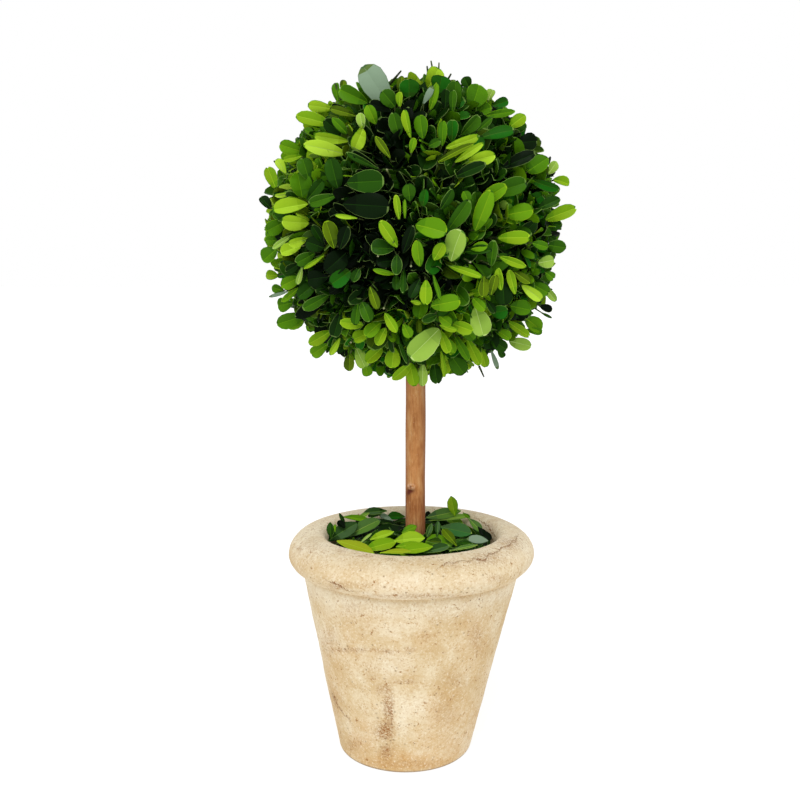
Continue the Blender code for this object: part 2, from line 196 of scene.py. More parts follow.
# %% Mesh helpers
def make_piece(name, points, faces, materials, face_slots=None, sharp_above=None, attributes=None):
    """A mesh object from an array of points and arrays of faces, one array per corner count."""
    mesh = bpy.data.meshes.new(name)
    corners = np.concatenate([group.ravel() for group in faces]).astype(np.int32)
    counts = np.concatenate([np.full(len(group), group.shape[1]) for group in faces])
    starts = np.concatenate([[0], np.cumsum(counts)[:-1]]).astype(np.int32)
    mesh.vertices.add(len(points))
    mesh.vertices.foreach_set("co", points.astype(np.float32).ravel())
    mesh.loops.add(len(corners))
    mesh.loops.foreach_set("vertex_index", corners)
    mesh.polygons.add(len(counts))
    mesh.polygons.foreach_set("loop_start", starts)
    for material in materials:
        mesh.materials.append(material)
    if face_slots is not None:
        mesh.polygons.foreach_set("material_index", face_slots.astype(np.int32))
    mesh.update(calc_edges=True)
    mesh.polygons.foreach_set("use_smooth", np.ones(len(counts), bool))
    if sharp_above is not None:
        mesh.set_sharp_from_angle(angle=math.radians(sharp_above))
    for label, values in (attributes or {}).items():
        layer = mesh.attributes.new(label, "FLOAT", "POINT")
        layer.data.foreach_set("value", values.astype(np.float32).ravel())
    mesh.validate()
    piece = bpy.data.objects.new(name, mesh)
    bpy.context.scene.collection.objects.link(piece)
    print(f"{name}: {len(points)} points, {int((counts - 2).sum())} triangles")
    return piece


def dress(node, *pieces):
    """Each piece rides on the one body and stands for a CAD node, which is hidden."""
    for piece in pieces:
        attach(piece, "root")
        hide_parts(node)


def closed_tubes(rings):
    """Tubes from points (tubes, rings, sides, 3), whose sides run anticlockwise about the way on.

    Quads join neighbouring rings, and a fan of triangles from its middle closes each end.
    """
    count, along, sides, _ = rings.shape
    start = (np.arange(count) * along * sides)[:, None, None]
    here = np.arange(along - 1)[:, None] * sides + np.arange(sides)
    beside = np.arange(along - 1)[:, None] * sides + np.roll(np.arange(sides), -1)
    quads = np.stack([here, beside, beside + sides, here + sides], axis=-1).reshape(1, -1, 4) + start
    middles = np.concatenate([rings[:, 0].mean(1), rings[:, -1].mean(1)])
    low_middle = np.repeat(count * along * sides + np.arange(count), sides).reshape(count, sides)
    low, low_next = start[:, :, 0] + here[0], start[:, :, 0] + beside[0]
    last = (along - 1) * sides
    fans = [
        np.stack([low_middle, low_next, low], axis=-1),
        np.stack([low_middle + count, low + last, low_next + last], axis=-1),
    ]
    points = np.concatenate([rings.reshape(-1, 3), middles])
    return points, [quads.reshape(-1, 4), np.concatenate(fans).reshape(-1, 3)]


def resample(points, count):
    """A path's points moved to even steps along its length."""
    steps = np.linalg.norm(np.diff(points, axis=0), axis=1)
    run = np.concatenate([[0.0], np.cumsum(steps)])
    even = np.linspace(0.0, run[-1], count)
    return np.stack([np.interp(even, run, column) for column in points.T], axis=1)


def waves(places, seed, wavelength, count=24):
    """Smooth noise in space: the mean of sine waves in random directions, about -1 to 1."""
    chance = np.random.default_rng(seed)
    ways = unit(chance.normal(size=(count, 3))) * (2 * math.pi / wavelength)
    ways = ways * chance.uniform(0.6, 1.5, (count, 1))
    phase = chance.uniform(0.0, 2 * math.pi, count)
    return np.sin(places @ ways.T + phase).sum(-1) / math.sqrt(count / 2.0) / 1.6


def unevenness(places, *rows):
    """A sum of waves, each given by its height, its seed and its wavelength."""
    return sum(height * waves(places, seed, wavelength) for height, seed, wavelength in rows)


def bell(*scaled):
    """A bell 1 high: e to the power of minus the sum of the squares of scaled distances."""
    return np.exp(-sum(distance**2 for distance in scaled))


# %% [markdown]
# ## The pot
# A thick cement pot, cast in a mould and aged: a rolled rim, a narrow cove below it, a flared
# body and a flat foot. The body leans a little, so the rim stands to the right of the foot.
# A turned profile gives the form. Low waves over it give the uneven hand finish that a lathe
# shape lacks. Marks that have a place, such as the rusty run and the crack, are laid on the
# surface as attributes of its points, and the material turns them into grains and lines.

# %% Pot profile
RIM_RADIUS, POT_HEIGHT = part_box("pot")[1][1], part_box("pot")[1][2]
RIM_WIDEST_Z, RIM_UNDER_RADIUS, RIM_UNDER_Z = 124.0 * MM, 66.0 * MM, 114.6 * MM
CROWN_RADIUS, THROAT_RADIUS, THROAT_Z, SHOULDER_Z = 57.5 * MM, 51.4 * MM, 128.5 * MM, 102.0 * MM
BODY_TOP_RADIUS, BODY_TOP_Z, COVE_DEPTH = 65.6 * MM, 112.4 * MM, 1.0 * MM
FOOT_RADIUS, FOOT_ROUNDING = 41.0 * MM, 1.6 * MM
POT_FLOOR_Z, POT_FLOOR_RADIUS, FLOOR_ROUNDING = 12.0 * MM, 30.0 * MM, 4.0 * MM
AXIS_GAP = 0.4 * MM
POT_LEAN = 0.028
POT_SIDES = 384


def arc(centre, corner, start, end, steps=40):
    """Points of an ellipse's arc, centre + (a cos t, b sin t), between two angles in degrees.

    The corner is that of the box round the ellipse's quarter, so a and b are its distances.
    """
    turn = np.radians(np.linspace(start, end, steps))
    half_axes = np.abs(np.subtract(corner, centre))
    return np.array(centre) + half_axes * np.stack([np.cos(turn), np.sin(turn)], axis=1)


outside = np.concatenate(
    [
        [[AXIS_GAP, 0.0]],
        arc((FOOT_RADIUS - FOOT_ROUNDING, FOOT_ROUNDING), (FOOT_RADIUS, 0.0), -90, 0, 10),
        [[BODY_TOP_RADIUS, BODY_TOP_Z]],
        [[BODY_TOP_RADIUS - COVE_DEPTH, (RIM_UNDER_Z + BODY_TOP_Z) / 2]],
        arc((RIM_UNDER_RADIUS, RIM_WIDEST_Z), (RIM_RADIUS, RIM_UNDER_Z), -90, 0),
        arc((CROWN_RADIUS, RIM_WIDEST_Z), (RIM_RADIUS, POT_HEIGHT), 0, 90),
        arc((CROWN_RADIUS, THROAT_Z), (THROAT_RADIUS, POT_HEIGHT), 90, 180),
    ]
)
inside = np.array(
    [
        [THROAT_RADIUS, THROAT_Z],
        [THROAT_RADIUS, SHOULDER_Z],
        [POT_FLOOR_RADIUS, POT_FLOOR_Z + FLOOR_ROUNDING],
        [POT_FLOOR_RADIUS - FLOOR_ROUNDING, POT_FLOOR_Z],
        [AXIS_GAP, POT_FLOOR_Z],
    ]
)
profile = np.concatenate([resample(outside, 206), resample(inside, 26)[1:]])
print("pot profile:", len(profile), "points,", round(profile[:, 0].max() / MM, 1), "mm at its widest")


# %% Pot surface
def turned_rings(section, sides):
    """A section (radius, height) turned about the upright: x = r sin t, y = -r cos t."""
    turn = np.arange(sides) / sides * 2 * math.pi
    radius, height = section[:, :1], section[:, 1:]
    return np.stack(np.broadcast_arrays(radius * np.sin(turn), -radius * np.cos(turn), height), axis=-1)


def lean_with_pot(points):
    """The pot's lean: x moves by a share of the height."""
    points[..., 0] += POT_LEAN * points[..., 2]
    return points


FLAT_FOOT = 3 * MM
TOP_WAVE = 0.25 * MM
rings = turned_rings(profile, POT_SIDES)
outward = unit(rings * [1, 1, 0] + [0, 0, 1e-9])
hand_wave = unevenness(rings, (0.28, 3, 0.085), (0.14, 4, 0.022), (0.06, 5, 0.008))
rings += outward * (hand_wave * np.clip(rings[..., 2] / FLAT_FOOT, 0, 1))[..., None] * MM
rings[..., 2] += TOP_WAVE * np.clip(rings[..., 2] / POT_HEIGHT, 0, 1) * (waves(rings, 6, 0.07) - 1.0)
rings = lean_with_pot(rings)
pot_points, pot_faces = closed_tubes(rings[None])
print("pot surface:", rings.shape[0], "rings of", rings.shape[1])

# %% [markdown]
# ### Marks on the pot
# Each mark is named by where it shows in the photograph. A point of the pot falls in a mark
# where its own pixel does, as long as that side of the pot faces the camera. The far side gets
# marks of the same kinds at random, so it is as worn as the near side.

# %% Pot marks
# Each row: across and down in the photograph, half width and half height in pixels, strength.
# The long thin row at 420, 596 follows the cove under the rim: a painted shadow line.
RUST_MARKS = [
    (387, 690, 5, 8, 0.6), (388, 708, 5, 16, 0.8), (385, 731, 9, 10, 1.0), (386, 752, 6, 9, 0.75),
    (392, 716, 1.5, 24, 1.0), (338, 586, 9, 4, 0.55), (487, 558, 16, 7, 0.5), (509, 544, 12, 7, 0.55),
    (452, 564, 9, 4, 0.4), (497, 578, 9, 4, 0.35), (490, 530, 6, 9, 0.5), (312, 545, 8, 8, 0.2),
    (420, 596, 50, 2.5, 0.45), (366, 585, 26, 4, 0.2), (389, 553, 12, 3, 0.35), (352, 650, 30, 2.2, 0.5),
    (386, 652, 10, 2.0, 0.5), (410, 650, 5, 3, 0.55), (476, 638, 7, 15, 0.32), (405, 682, 10, 2, 0.6),
    (380, 690, 4, 6, 0.45), (352, 610, 10, 9, 0.25), (330, 642, 8, 14, 0.3), (333, 702, 7, 14, 0.3),
    (354, 745, 8, 6, 0.4), (444, 712, 12, 16, 0.25), (340, 551, 4, 2, 0.5), (366, 556, 8, 1.5, 0.45),
    (391, 559, 4, 1.5, 0.6), (300, 549, 3, 4, 0.4), (456, 567, 4, 2, 0.5), (425, 636, 8, 6, 0.25),
    (370, 672, 10, 8, 0.15), (455, 680, 14, 8, 0.2), (404, 764, 40, 5, 0.3),
]
# The rows at 400, 572 and 392, 588 darken the rim's front, which faces the lamp: painted shade.
TAN_MARKS = [
    (412, 762, 62, 13, 0.95), (330, 700, 12, 60, 0.55), (362, 742, 14, 24, 0.6), (348, 640, 16, 26, 0.3),
    (472, 640, 18, 34, 0.45), (450, 715, 24, 32, 0.5), (446, 748, 34, 18, 0.6), (372, 616, 24, 22, 0.3),
    (505, 552, 16, 14, 0.75), (474, 728, 16, 30, 0.55), (340, 575, 20, 12, 0.25), (484, 690, 10, 50, 0.3),
    (420, 640, 18, 10, 0.2), (470, 580, 30, 10, 0.2), (345, 655, 30, 6, 0.35), (400, 572, 115, 13, 0.20),
    (392, 588, 80, 6, 0.2),
]
# The rows at 310, 530 and 400, 508 lighten the top of the rim: painted light.
PALE_MARKS = [
    (392, 664, 20, 15, 0.8), (402, 712, 8, 24, 0.6), (385, 625, 26, 12, 0.4), (432, 604, 36, 8, 0.35),
    (322, 560, 18, 20, 0.3), (436, 576, 40, 9, 0.35), (300, 560, 8, 20, 0.25), (486, 606, 12, 10, 0.3),
    (353, 606, 10, 14, 0.3), (432, 560, 60, 5, 0.3), (310, 530, 16, 12, 0.4), (400, 508, 90, 4, 0.4),
]
PIT_MARKS = [
    (301, 549, 4, 4, 1.0), (385, 584, 5, 4, 1.0), (469, 592, 5, 4, 1.0), (497, 578, 7, 4, 1.0),
    (469, 602, 4, 4, 0.9), (340, 648, 14, 5, 0.9), (372, 652, 18, 5, 0.9), (410, 650, 5, 4, 1.0),
    (403, 682, 7, 4, 1.0), (337, 704, 5, 8, 0.8), (358, 746, 7, 5, 0.8), (345, 545, 20, 6, 0.6),
    (420, 556, 30, 5, 0.6), (386, 725, 12, 26, 0.8),
]
# The front of the rim, which faces the lamp, gets less of the rim's paler tone and painted light.
RIM_FRONT = [(400, 570, 110, 16, 0.85)]
CRACK_LINES = [
    [(442, 566), (449, 561), (453, 563), (462, 560), (468, 562), (474, 558), (480, 561), (485, 561),
     (489, 553), (493, 554), (498, 551), (505, 546), (509, 546), (512, 541), (515, 542), (517, 537)],
    [(478, 519), (483, 523), (488, 526), (490, 530), (495, 536)],
    [(331, 582), (338, 585), (346, 590), (352, 591)],
    [(332, 692), (336, 702), (342, 711), (350, 721)],
]  # fmt: skip
# On the far side, a place is an angle in degrees and a height in mm.
FAR_CRACK_LINES = [
    [(128, 131), (133, 127), (140, 129), (147, 122)],
    [(205, 120), (212, 117), (222, 118), (229, 113)],
]
FAR_ANGLES, FAR_HEIGHTS = (95, 265), (4, 130)
CRACK_SCALE = 1.65
NO_CRACK = 1e2


def marks_at(places, shown, marks):
    """The strongest of the marks at each place: strength times a bell over the scaled distance."""
    total = np.zeros(len(places))
    for across, down, half_width, half_height, most in marks:
        away = ((places[:, 0] - across) / half_width) ** 2 + ((places[:, 1] - down) / half_height) ** 2
        total = np.maximum(total, most * np.exp(-(away**1.3)))
    return total * shown


def side_of_lines(places, lines):
    """Distance to the nearest stretch of some lines, negative on its other side."""
    nearest, signed = np.full((2, len(places)), 1e3)
    for line in lines:
        for start, end in zip(np.array(line[:-1], float), np.array(line[1:], float)):
            way = end - start
            share = np.clip((places - start) @ way / (way @ way), 0, 1)
            off = places - start - share[:, None] * way
            gap = np.linalg.norm(off, axis=1)
            side = np.sign(way[0] * off[:, 1] - way[1] * off[:, 0])
            signed = np.where(gap < nearest, side * gap, signed)
            nearest = np.minimum(gap, nearest)
    return signed


def far_marks(count, wide, tall, most):
    """Marks at random on the far side: angle in degrees, height in mm, half sizes and strength."""
    low, high = np.array([FAR_ANGLES, FAR_HEIGHTS, wide, tall, most]).T
    return chance.uniform(low, high, (count, 5))


def risen(start, over):
    """From 0 to 1 with the pot's height, from a start and over some millimetres."""
    return np.clip((pot_height - start) / over, 0, 1)


chance = np.random.default_rng(21)
pot_pixels = photo_pixels(pot_points)
along_ring = np.roll(rings, -1, axis=1) - np.roll(rings, 1, axis=1)
pot_normals = unit(np.cross(along_ring, np.gradient(rings, axis=0))).reshape(-1, 3)
to_camera = unit(CAMERA_AT - pot_points[: len(pot_normals)])
facing = np.append(np.clip(dots(pot_normals, to_camera)[:, 0] * 5, 0, 1), [0.0, 0.0])
pot_angle = np.degrees(np.arctan2(pot_points[:, 0] - POT_LEAN * pot_points[:, 2], -pot_points[:, 1]))
pot_height = pot_points[:, 2] / MM
around_back = np.stack([pot_angle % 360, pot_height], axis=1)
print("pot points that face the camera:", int((facing > 0.5).sum()), "of", len(facing))

wear_and_painted_light = {}
for name, near_rows, far_rows in (
    ("rust", RUST_MARKS, far_marks(7, (3, 8), (3, 16), (0.3, 0.8))),
    ("tan", TAN_MARKS, far_marks(16, (8, 26), (8, 30), (0.2, 0.6))),
    ("pale", PALE_MARKS, far_marks(14, (8, 22), (6, 24), (0.2, 0.7))),
    ("pits", PIT_MARKS, far_marks(12, (3, 9), (2, 6), (0.7, 1.0))),
):
    wear_and_painted_light[name] = marks_at(pot_pixels, facing, near_rows) + marks_at(around_back, 1 - facing, far_rows)

# The rim is painted paler towards its crown: partly its own paler tone, partly painted light on its top.
pale_and_lit_rim = risen(112.0, 4.0) * (0.05 + 0.85 * risen(122.0, 9.0))
pale_and_lit_rim = pale_and_lit_rim * (1 - marks_at(pot_pixels, facing, RIM_FRONT))
# A paler band below the cove: painted light where the rim's shadow falls.
lit_band_under_cove = 0.75 * bell((pot_height - 108.0) / 7.0)
wear_and_painted_light["pale"] = np.max([wear_and_painted_light["pale"], pale_and_lit_rim, lit_band_under_cove], axis=0)
far_cracks = side_of_lines(around_back, FAR_CRACK_LINES)
near_cracks = np.where(facing > 0.5, side_of_lines(pot_pixels, CRACK_LINES), NO_CRACK)
crack_side = np.where((facing < 0.5) & (np.abs(far_cracks) < 4), far_cracks, near_cracks)
wear_and_painted_light["crack_side"] = np.clip(crack_side / CRACK_SCALE, -20, 20)
print("pot marks:", ", ".join(f"{name} {values.max():.2f}" for name, values in wear_and_painted_light.items()))

# %% [markdown]
# ### Aged cream cement
# Cast cement is matt: dielectric, IOR about 1.5, roughness near 0.9. To the eye it is a warm
# cream with soft tan clouds 20 to 40 mm wide, a fine sandy mottle of 1 to 3 mm, a few small
# air holes, and rust brown grains where water ran. The clouds and grains are noise in Object
# coordinates at those sizes, and the holes lie in some cells of Voronoi patterns 3 and 6 mm
# wide. The sand is drawn at 2 mm and the grains at 1 mm, because real ones wouldn't show.

# %% Pot material
pot_material = new_material("aged_cream_cement", Roughness=0.88, IOR=1.5, Specular_IOR_Level=0.25)
tree = pot_material.node_tree
place = add_node(tree, "ShaderNodeTexCoord").outputs["Object"]
upright = add_node(tree, "ShaderNodeMapping", {"Vector": place, "Scale": (1.0, 1.0, 0.22)}).outputs[0]
height_up = add_node(tree, "ShaderNodeSeparateXYZ", {0: place}).outputs[2]
rust, tan, pale, pits, crack = [
    add_node(tree, "ShaderNodeAttribute", attribute_name=name).outputs["Fac"] for name in wear_and_painted_light
]
# Each row: coordinates, size in mm, detail and roughness.
clouds, streaks, sand, grains, worn, stains = [
    add_node(
        tree,
        "ShaderNodeTexNoise",
        {"Vector": vector, "Scale": 1 / (size * MM), "Detail": detail, "Roughness": roughness},
    ).outputs["Fac"]
    for vector, size, detail, roughness in (
        (place, 29.41, 5.0, 0.6),
        (upright, 8.333, 4.0, 0.6),
        (place, 1.923, 3.0, 0.7),
        (place, 1.1111, 2.0, 0.7),
        (place, 6.667, 4.0, 0.7),
        (place, 3.333, 3.0, 0.65),
    )
]

# The crack's line wanders with the grains and, more slowly, with the wear.
crack_gap = crack
for pattern, wander in ((grains, 3.4), (worn, 3.0)):
    swayed = {0: pattern, 1: wander, 2: crack_gap}
    crack_gap = add_node(tree, "ShaderNodeMath", swayed, operation="MULTIPLY_ADD").outputs[0]
centred = add_node(tree, "ShaderNodeMath", {0: crack_gap, 1: 3.2}, operation="SUBTRACT").outputs[0]
crack_gap = add_node(tree, "ShaderNodeMath", {0: centred}, operation="ABSOLUTE").outputs[0]
cracked = strength(tree, (crack_gap, 0.42, 0.12), (worn, 0.40, 0.50, 0.45, 0.95))

# A cell's random colour decides whether it holds a hole, and how wide a large one is.
cells, small_cells = [
    add_node(tree, "ShaderNodeTexVoronoi", {"Vector": place, "Scale": 1 / (size * MM)}).outputs
    for size in (5.882, 2.632)
]
luck, small_luck = [
    add_node(tree, "ShaderNodeSeparateColor", {0: outputs["Color"]}).outputs
    for outputs in (cells, small_cells)
]
hole_width = strength(tree, (luck[0], 0.92, 1.0, 0.0001, 0.1301))
hole_gap = {0: cells["Distance"], 1: hole_width}
hole_gap = add_node(tree, "ShaderNodeMath", hole_gap, operation="DIVIDE").outputs[0]
holes = 0.0
for patterns in (
    ((hole_gap, 1.0, 0.6), (worn, 0.46, 0.58, 0.15, 0.9)),
    ((small_cells["Distance"], 0.30, 0.20), (small_luck[0], 0.45, 0.5), pits),
    ((small_cells["Distance"], 0.26, 0.16), (small_luck[1], 0.86, 0.90, 0.0, 0.5)),
):
    both = {0: holes, 1: strength(tree, *patterns)}
    holes = add_node(tree, "ShaderNodeMath", both, operation="MAXIMUM").outputs[0]

rusted = strength(tree, rust, (grains, 0.44, 0.56, 0.2, 0.95))
cream_shades = [(0.36, "#cbb083"), (0.48, "#d8c39c"), (0.56, "#e0cfad"), (0.66, "#e8dabd")]
cement = layered(
    tree,
    add_node(tree, "ShaderNodeValToRGB", {"Fac": clouds}, ramp=cream_shades).outputs[0],
    [
        ("#d2b483", (streaks, 0.45, 0.75, 0.0, 0.5)),
        ("#c9a065", tan, (worn, 0.30, 0.62, 0.35, 1.0)),
        ("#ebdfc4", pale, (worn, 0.35, 0.55, 0.3, 1.0)),
        ("#bf9a63", (sand, 0.52, 0.72, 0.0, 0.50)),
        ("#f3e9d2", (sand, 0.47, 0.30, 0.0, 0.22)),
        ("#b98f5c", (grains, 0.56, 0.64), (worn, 0.42, 0.60, 0.15, 0.75)),
        ("#f6edd8", (grains, 0.40, 0.33, 0.0, 0.45)),
        ("#9a6c38", (stains, 0.65, 0.70), (worn, 0.40, 0.60, 0.1, 0.9)),
        ("#94602f", rusted),
        ("#8a5a2c", cracked),
        ("#826038", holes),
        # A painted contact shadow along the lowest 2 mm of the foot.
        ("#6f6058", (height_up, 0.2 * MM, 1.8 * MM, 0.8, 0.0)),
    ],
)
relief = 0.0
for pattern, height in ((sand, 0.35), (worn, 0.8), (holes, -1.2), (cracked, -1.0), (rusted, -0.5)):
    raised = {0: pattern, 1: height, 2: relief}
    relief = add_node(tree, "ShaderNodeMath", raised, operation="MULTIPLY_ADD").outputs[0]
put_on(pot_material, cement, relief, 0.55, 0.6 * MM)
pot = make_piece("cement_pot", pot_points, pot_faces, [pot_material], sharp_above=50, attributes=wear_and_painted_light)
dress("pot", pot)

# %% [markdown]
# ## The filling
# Under the loose leaves lies a dark, crumbly filling that holds the stick. Only its gaps show
# between the leaves, nearly black. It is a plug turned from a section just inside the pot,
# with lumps on its top, so that the gaps have depth. Its fibres are drawn 4 mm long and its
# crumbs 2 mm wide, both matt.

# %% Filling
FILLING_TOP_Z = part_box("pot_filling")[1][2]
FILLING_FOOT_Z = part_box("pot_filling")[0][2]
WALL_GAP, CROWNING, LUMPY_DEPTH = 0.6 * MM, 2.0 * MM, 0.6 * MM
filling_section = np.array(
    [
        [AXIS_GAP, FILLING_FOOT_Z],
        [POT_FLOOR_RADIUS - 4.2 * MM, FILLING_FOOT_Z],
        [POT_FLOOR_RADIUS - WALL_GAP, POT_FLOOR_Z + 4.4 * MM],
        [THROAT_RADIUS - WALL_GAP, SHOULDER_Z],
        [THROAT_RADIUS - WALL_GAP, FILLING_TOP_Z - 1.0 * MM],
        [THROAT_RADIUS - 2 * WALL_GAP, FILLING_TOP_Z],
        [AXIS_GAP, FILLING_TOP_Z + CROWNING],
    ]
)
filling_rings = turned_rings(resample(filling_section, 120), 120)
on_top = np.clip((filling_rings[..., 2] - FILLING_TOP_Z + LUMPY_DEPTH) / LUMPY_DEPTH, 0, 1)
filling_rings[..., 2] += on_top * unevenness(filling_rings, (0.9, 31, 0.012), (0.4, 32, 0.004)) * MM
filling_points, filling_faces = closed_tubes(lean_with_pot(filling_rings)[None])

filling_shades = [(0.35, "#080a05"), (0.55, "#12130b"), (0.72, "#221e13")]
filling_material = mottled_material("dark_crumbled_filling", 3.846, 4.0, filling_shades, Roughness=0.95)
tree = filling_material.node_tree
place = tree.nodes["Texture Coordinate"].outputs["Object"]
fibres = tree.nodes["Noise Texture"].outputs["Fac"]
crumb_inputs = {"Vector": place, "Scale": 1 / (2.381 * MM)}
crumbs = add_node(tree, "ShaderNodeTexVoronoi", crumb_inputs).outputs["Distance"]
crumble = add_node(tree, "ShaderNodeMath", {0: crumbs, 1: fibres}, operation="ADD").outputs[0]
put_on(filling_material, tree.nodes["Color Ramp"].outputs[0], crumble, 0.8, 1.0 * MM)
filling = make_piece("crumbled_filling", filling_points, filling_faces, [filling_material], sharp_above=60)
dress("pot_filling", filling)

# %% [markdown]
# ## The stick
# A straight stick of a small tree, 12 mm thick, its thin reddish bark left on and dyed or
# oiled: tan brown with fine upright grain, one broken knot on the left and darker streaks
# near the foot. It is a tube whose radius carries the grain as real ridges, with the knot's
# lip and hollow pressed into it. A painted shadow lies under the knot's lip, and both sides
# of the stick are painted darker as painted shade.

# %% Stick surface
STEM_RADIUS, STEM_X, STEM_FOOT_Z, STEM_TOP_Z = 6.0 * MM, 6.0 * MM, 52.0 * MM, 300.0 * MM
STEM_SIDES, STEM_RINGS = 88, 560
STEM_BOW, CUT_GAP = 0.25 * MM, 0.2 * MM
KNOT_DEGREES, KNOT_Z = -29.0, 163.2
turn = np.arange(STEM_SIDES) / STEM_SIDES * 2 * math.pi
stick_z = np.linspace(STEM_FOOT_Z + CUT_GAP, STEM_TOP_Z - CUT_GAP, STEM_RINGS)[:, None]
high = stick_z / MM


def round_from(degrees):
    """How far round the stick, in mm, each side lies from an angle, negative to its left."""
    return np.angle(np.exp(1j * (turn - math.radians(degrees)))) * STEM_RADIUS / MM


def on_stick_points(values):
    """Values of the stick's grid, kept between 0 and 1, with two zeros for the middles of its ends."""
    return np.append(np.clip(np.broadcast_to(values, stick_radius.shape), 0, 1), [0.0, 0.0])


wood_places = np.stack(np.broadcast_arrays(np.sin(turn), -np.cos(turn), stick_z / STEM_RADIUS), axis=-1)
ridges = unevenness(wood_places * [1.0, 1.0, 0.06], (0.075, 41, 0.55), (0.045, 42, 0.24))
swelling = 0.10 * waves(wood_places * [0.5, 0.5, 0.35], 43, 3.0)
beside, over = round_from(KNOT_DEGREES), high - KNOT_Z
from_knot = np.hypot(beside / 2.7, over / 2.3)
knot = 0.6 * bell((from_knot / 0.9) ** 2) - 0.5 * bell(from_knot / 0.3)
knot -= 0.5 * bell(beside / 2.6, (over + 2.7) / 0.8)
flare = 0.35 * bell((high - 120.0) / 9.0) * (0.6 + 0.4 * np.sin(turn))
stick_radius = STEM_RADIUS + (ridges + swelling + knot + flare) * MM
stick_x = STEM_X + STEM_BOW * np.sin((stick_z - STEM_FOOT_Z) / (STEM_TOP_Z - STEM_FOOT_Z) * math.pi)
stick_rings = [stick_x + stick_radius * np.sin(turn), -stick_radius * np.cos(turn), stick_z]
stick_rings = np.stack(np.broadcast_arrays(*stick_rings), axis=-1)
stick_points, stick_faces = closed_tubes(stick_rings[None])

# Down and to the left of the knot's lip, a painted shadow darkens the bark.
knot_shadow = bell((beside + 0.4) / 3.0, (over + 2.7) / 1.5)
knot_shadow += 0.8 * bell((beside + 2.0) / 1.8, (over + 4.4) / 1.6)
dark_foot = 0.52 * np.clip((160.5 - high) / 5.0, 0, 1)
stick_marks_and_shade = {
    "knot_dark_and_shadow": on_stick_points(0.8 * bell(from_knot / 0.3) + knot_shadow),
    "knot_pale": on_stick_points(bell((from_knot / 0.95) ** 2)),
    "low_dark": on_stick_points(np.maximum(bell(round_from(40.0) / 3.4, (high - 133.0) / 13.0), dark_foot)),
    # Both sides, where the stick turns away, are painted darker: painted shade.
    "painted_side_shade": on_stick_points(bell(round_from(82.0) / 4.817) + 0.8 * bell(round_from(-86.0) / 3.979)),
}
print("stick:", stick_rings.shape[0], "rings, knot at", KNOT_Z, "mm")

# %% [markdown]
# ### Thin reddish bark
# Bark that was left on and rubbed smooth is half matt, IOR 1.5. Its grain is far longer than
# wide, so a Mapping node stretches that noise along the stick. The grain is drawn 0.8 mm wide
# and the flecks 1 mm, as coarse as they need to be to show, over slow bands 5 mm wide.

# %% Stick material
stick_material = new_material("thin_reddish_bark", Roughness=0.66, IOR=1.5, Specular_IOR_Level=0.22)
tree = stick_material.node_tree
place = add_node(tree, "ShaderNodeTexCoord").outputs["Object"]
knot_dark_and_shadow, knot_pale, low_dark, painted_side_shade = [
    add_node(tree, "ShaderNodeAttribute", attribute_name=name).outputs["Fac"] for name in stick_marks_and_shade
]
# Each row: the share that is left of upright steps, size in mm, detail and roughness.
grain, bands, flecks = [
    add_node(
        tree,
        "ShaderNodeTexNoise",
        {
            "Vector": add_node(
                tree, "ShaderNodeMapping", {"Vector": place, "Scale": (1.0, 1.0, up)}
            ).outputs[0],
            "Scale": 1 / (size * MM),
            "Detail": detail,
            "Roughness": roughness,
        },
    ).outputs["Fac"]
    for up, size, detail, roughness in (
        (0.07, 0.76923, 4.0, 0.65),
        (0.4, 4.762, 4.0, 0.6),
        (1.0, 1.0526, 2.0, 0.5),
    )
]
bark_shades = [(0.36, "#b0713c"), (0.48, "#c6874e"), (0.58, "#d1985e"), (0.68, "#daa874")]
bark = layered(
    tree,
    add_node(tree, "ShaderNodeValToRGB", {"Fac": bands}, ramp=bark_shades).outputs[0],
    [
        ("#8a5228", (grain, 0.52, 0.72, 0.0, 0.40)),
        ("#d8a874", (grain, 0.47, 0.32, 0.0, 0.30)),
        ("#e2c7a0", (flecks, 0.70, 0.76, 0.0, 0.6)),
        # Painted shade on both sides of the stick.
        ("#84502b", (painted_side_shade, 0.0, 1.0, 0.0, 0.9)),
        ("#743717", low_dark, (grain, 0.42, 0.58, 0.45, 1.0)),
        ("#dcb18c", knot_pale, (flecks, 0.40, 0.54, 0.10, 1.0)),
        # The knot's dark middle, and the painted shadow under its lip.
        ("#5f2613", knot_dark_and_shadow),
    ],
)
put_on(stick_material, bark, grain, 0.5, 0.25 * MM)
stick = make_piece(
    "bark_stick", stick_points, stick_faces, [stick_material], sharp_above=60, attributes=stick_marks_and_shade
)
dress("stem", stick)

# %% [markdown]
# ## One boxwood leaf
# A boxwood leaf is a leathery oval 15 to 25 mm long, widest at or past its middle, with a
# blunt or notched tip, a midrib, a thin edge and a yellower underside. One function lays out
# all leaves of a kind at once. The outline's half width at a share s of the length is
# s^a (1 - s^b)^c, scaled to the leaf's width: a makes the wedge at the root, b sets how far
# out the leaf is widest, and c is 0.5 for a round tip or 1 for a point. Across, the top has an
# edge, a half, a rib, a half and an edge, and the underside is two plain faces, so a leaf
# costs 51 faces.

# %% Leaf surface
STATIONS = np.array([0.0, 0.11, 0.30, 0.52, 0.72, 0.87, 0.96, 1.0])
FINE_STATIONS = np.linspace(0.0, 1.0, 60)
LEAF_THICKNESS, EDGE_WIDTH, RIB_HALF_WIDTH, STALK_HALF_WIDTH = 0.5 * MM, 0.20 * MM, 0.14 * MM, 0.45 * MM
RAISED = LEAF_THICKNESS / 2 * np.array([0.0, 1.0, 0.55, 0.55, 1.0, 0.0, -1.0])
ACROSS = len(RAISED)
ONE_HALF, OTHER_HALF, ONE_ROOT, OTHER_ROOT, ONE_TIP, OTHER_TIP, ONE_EDGE, OTHER_EDGE, RIB, UNDER = range(10)


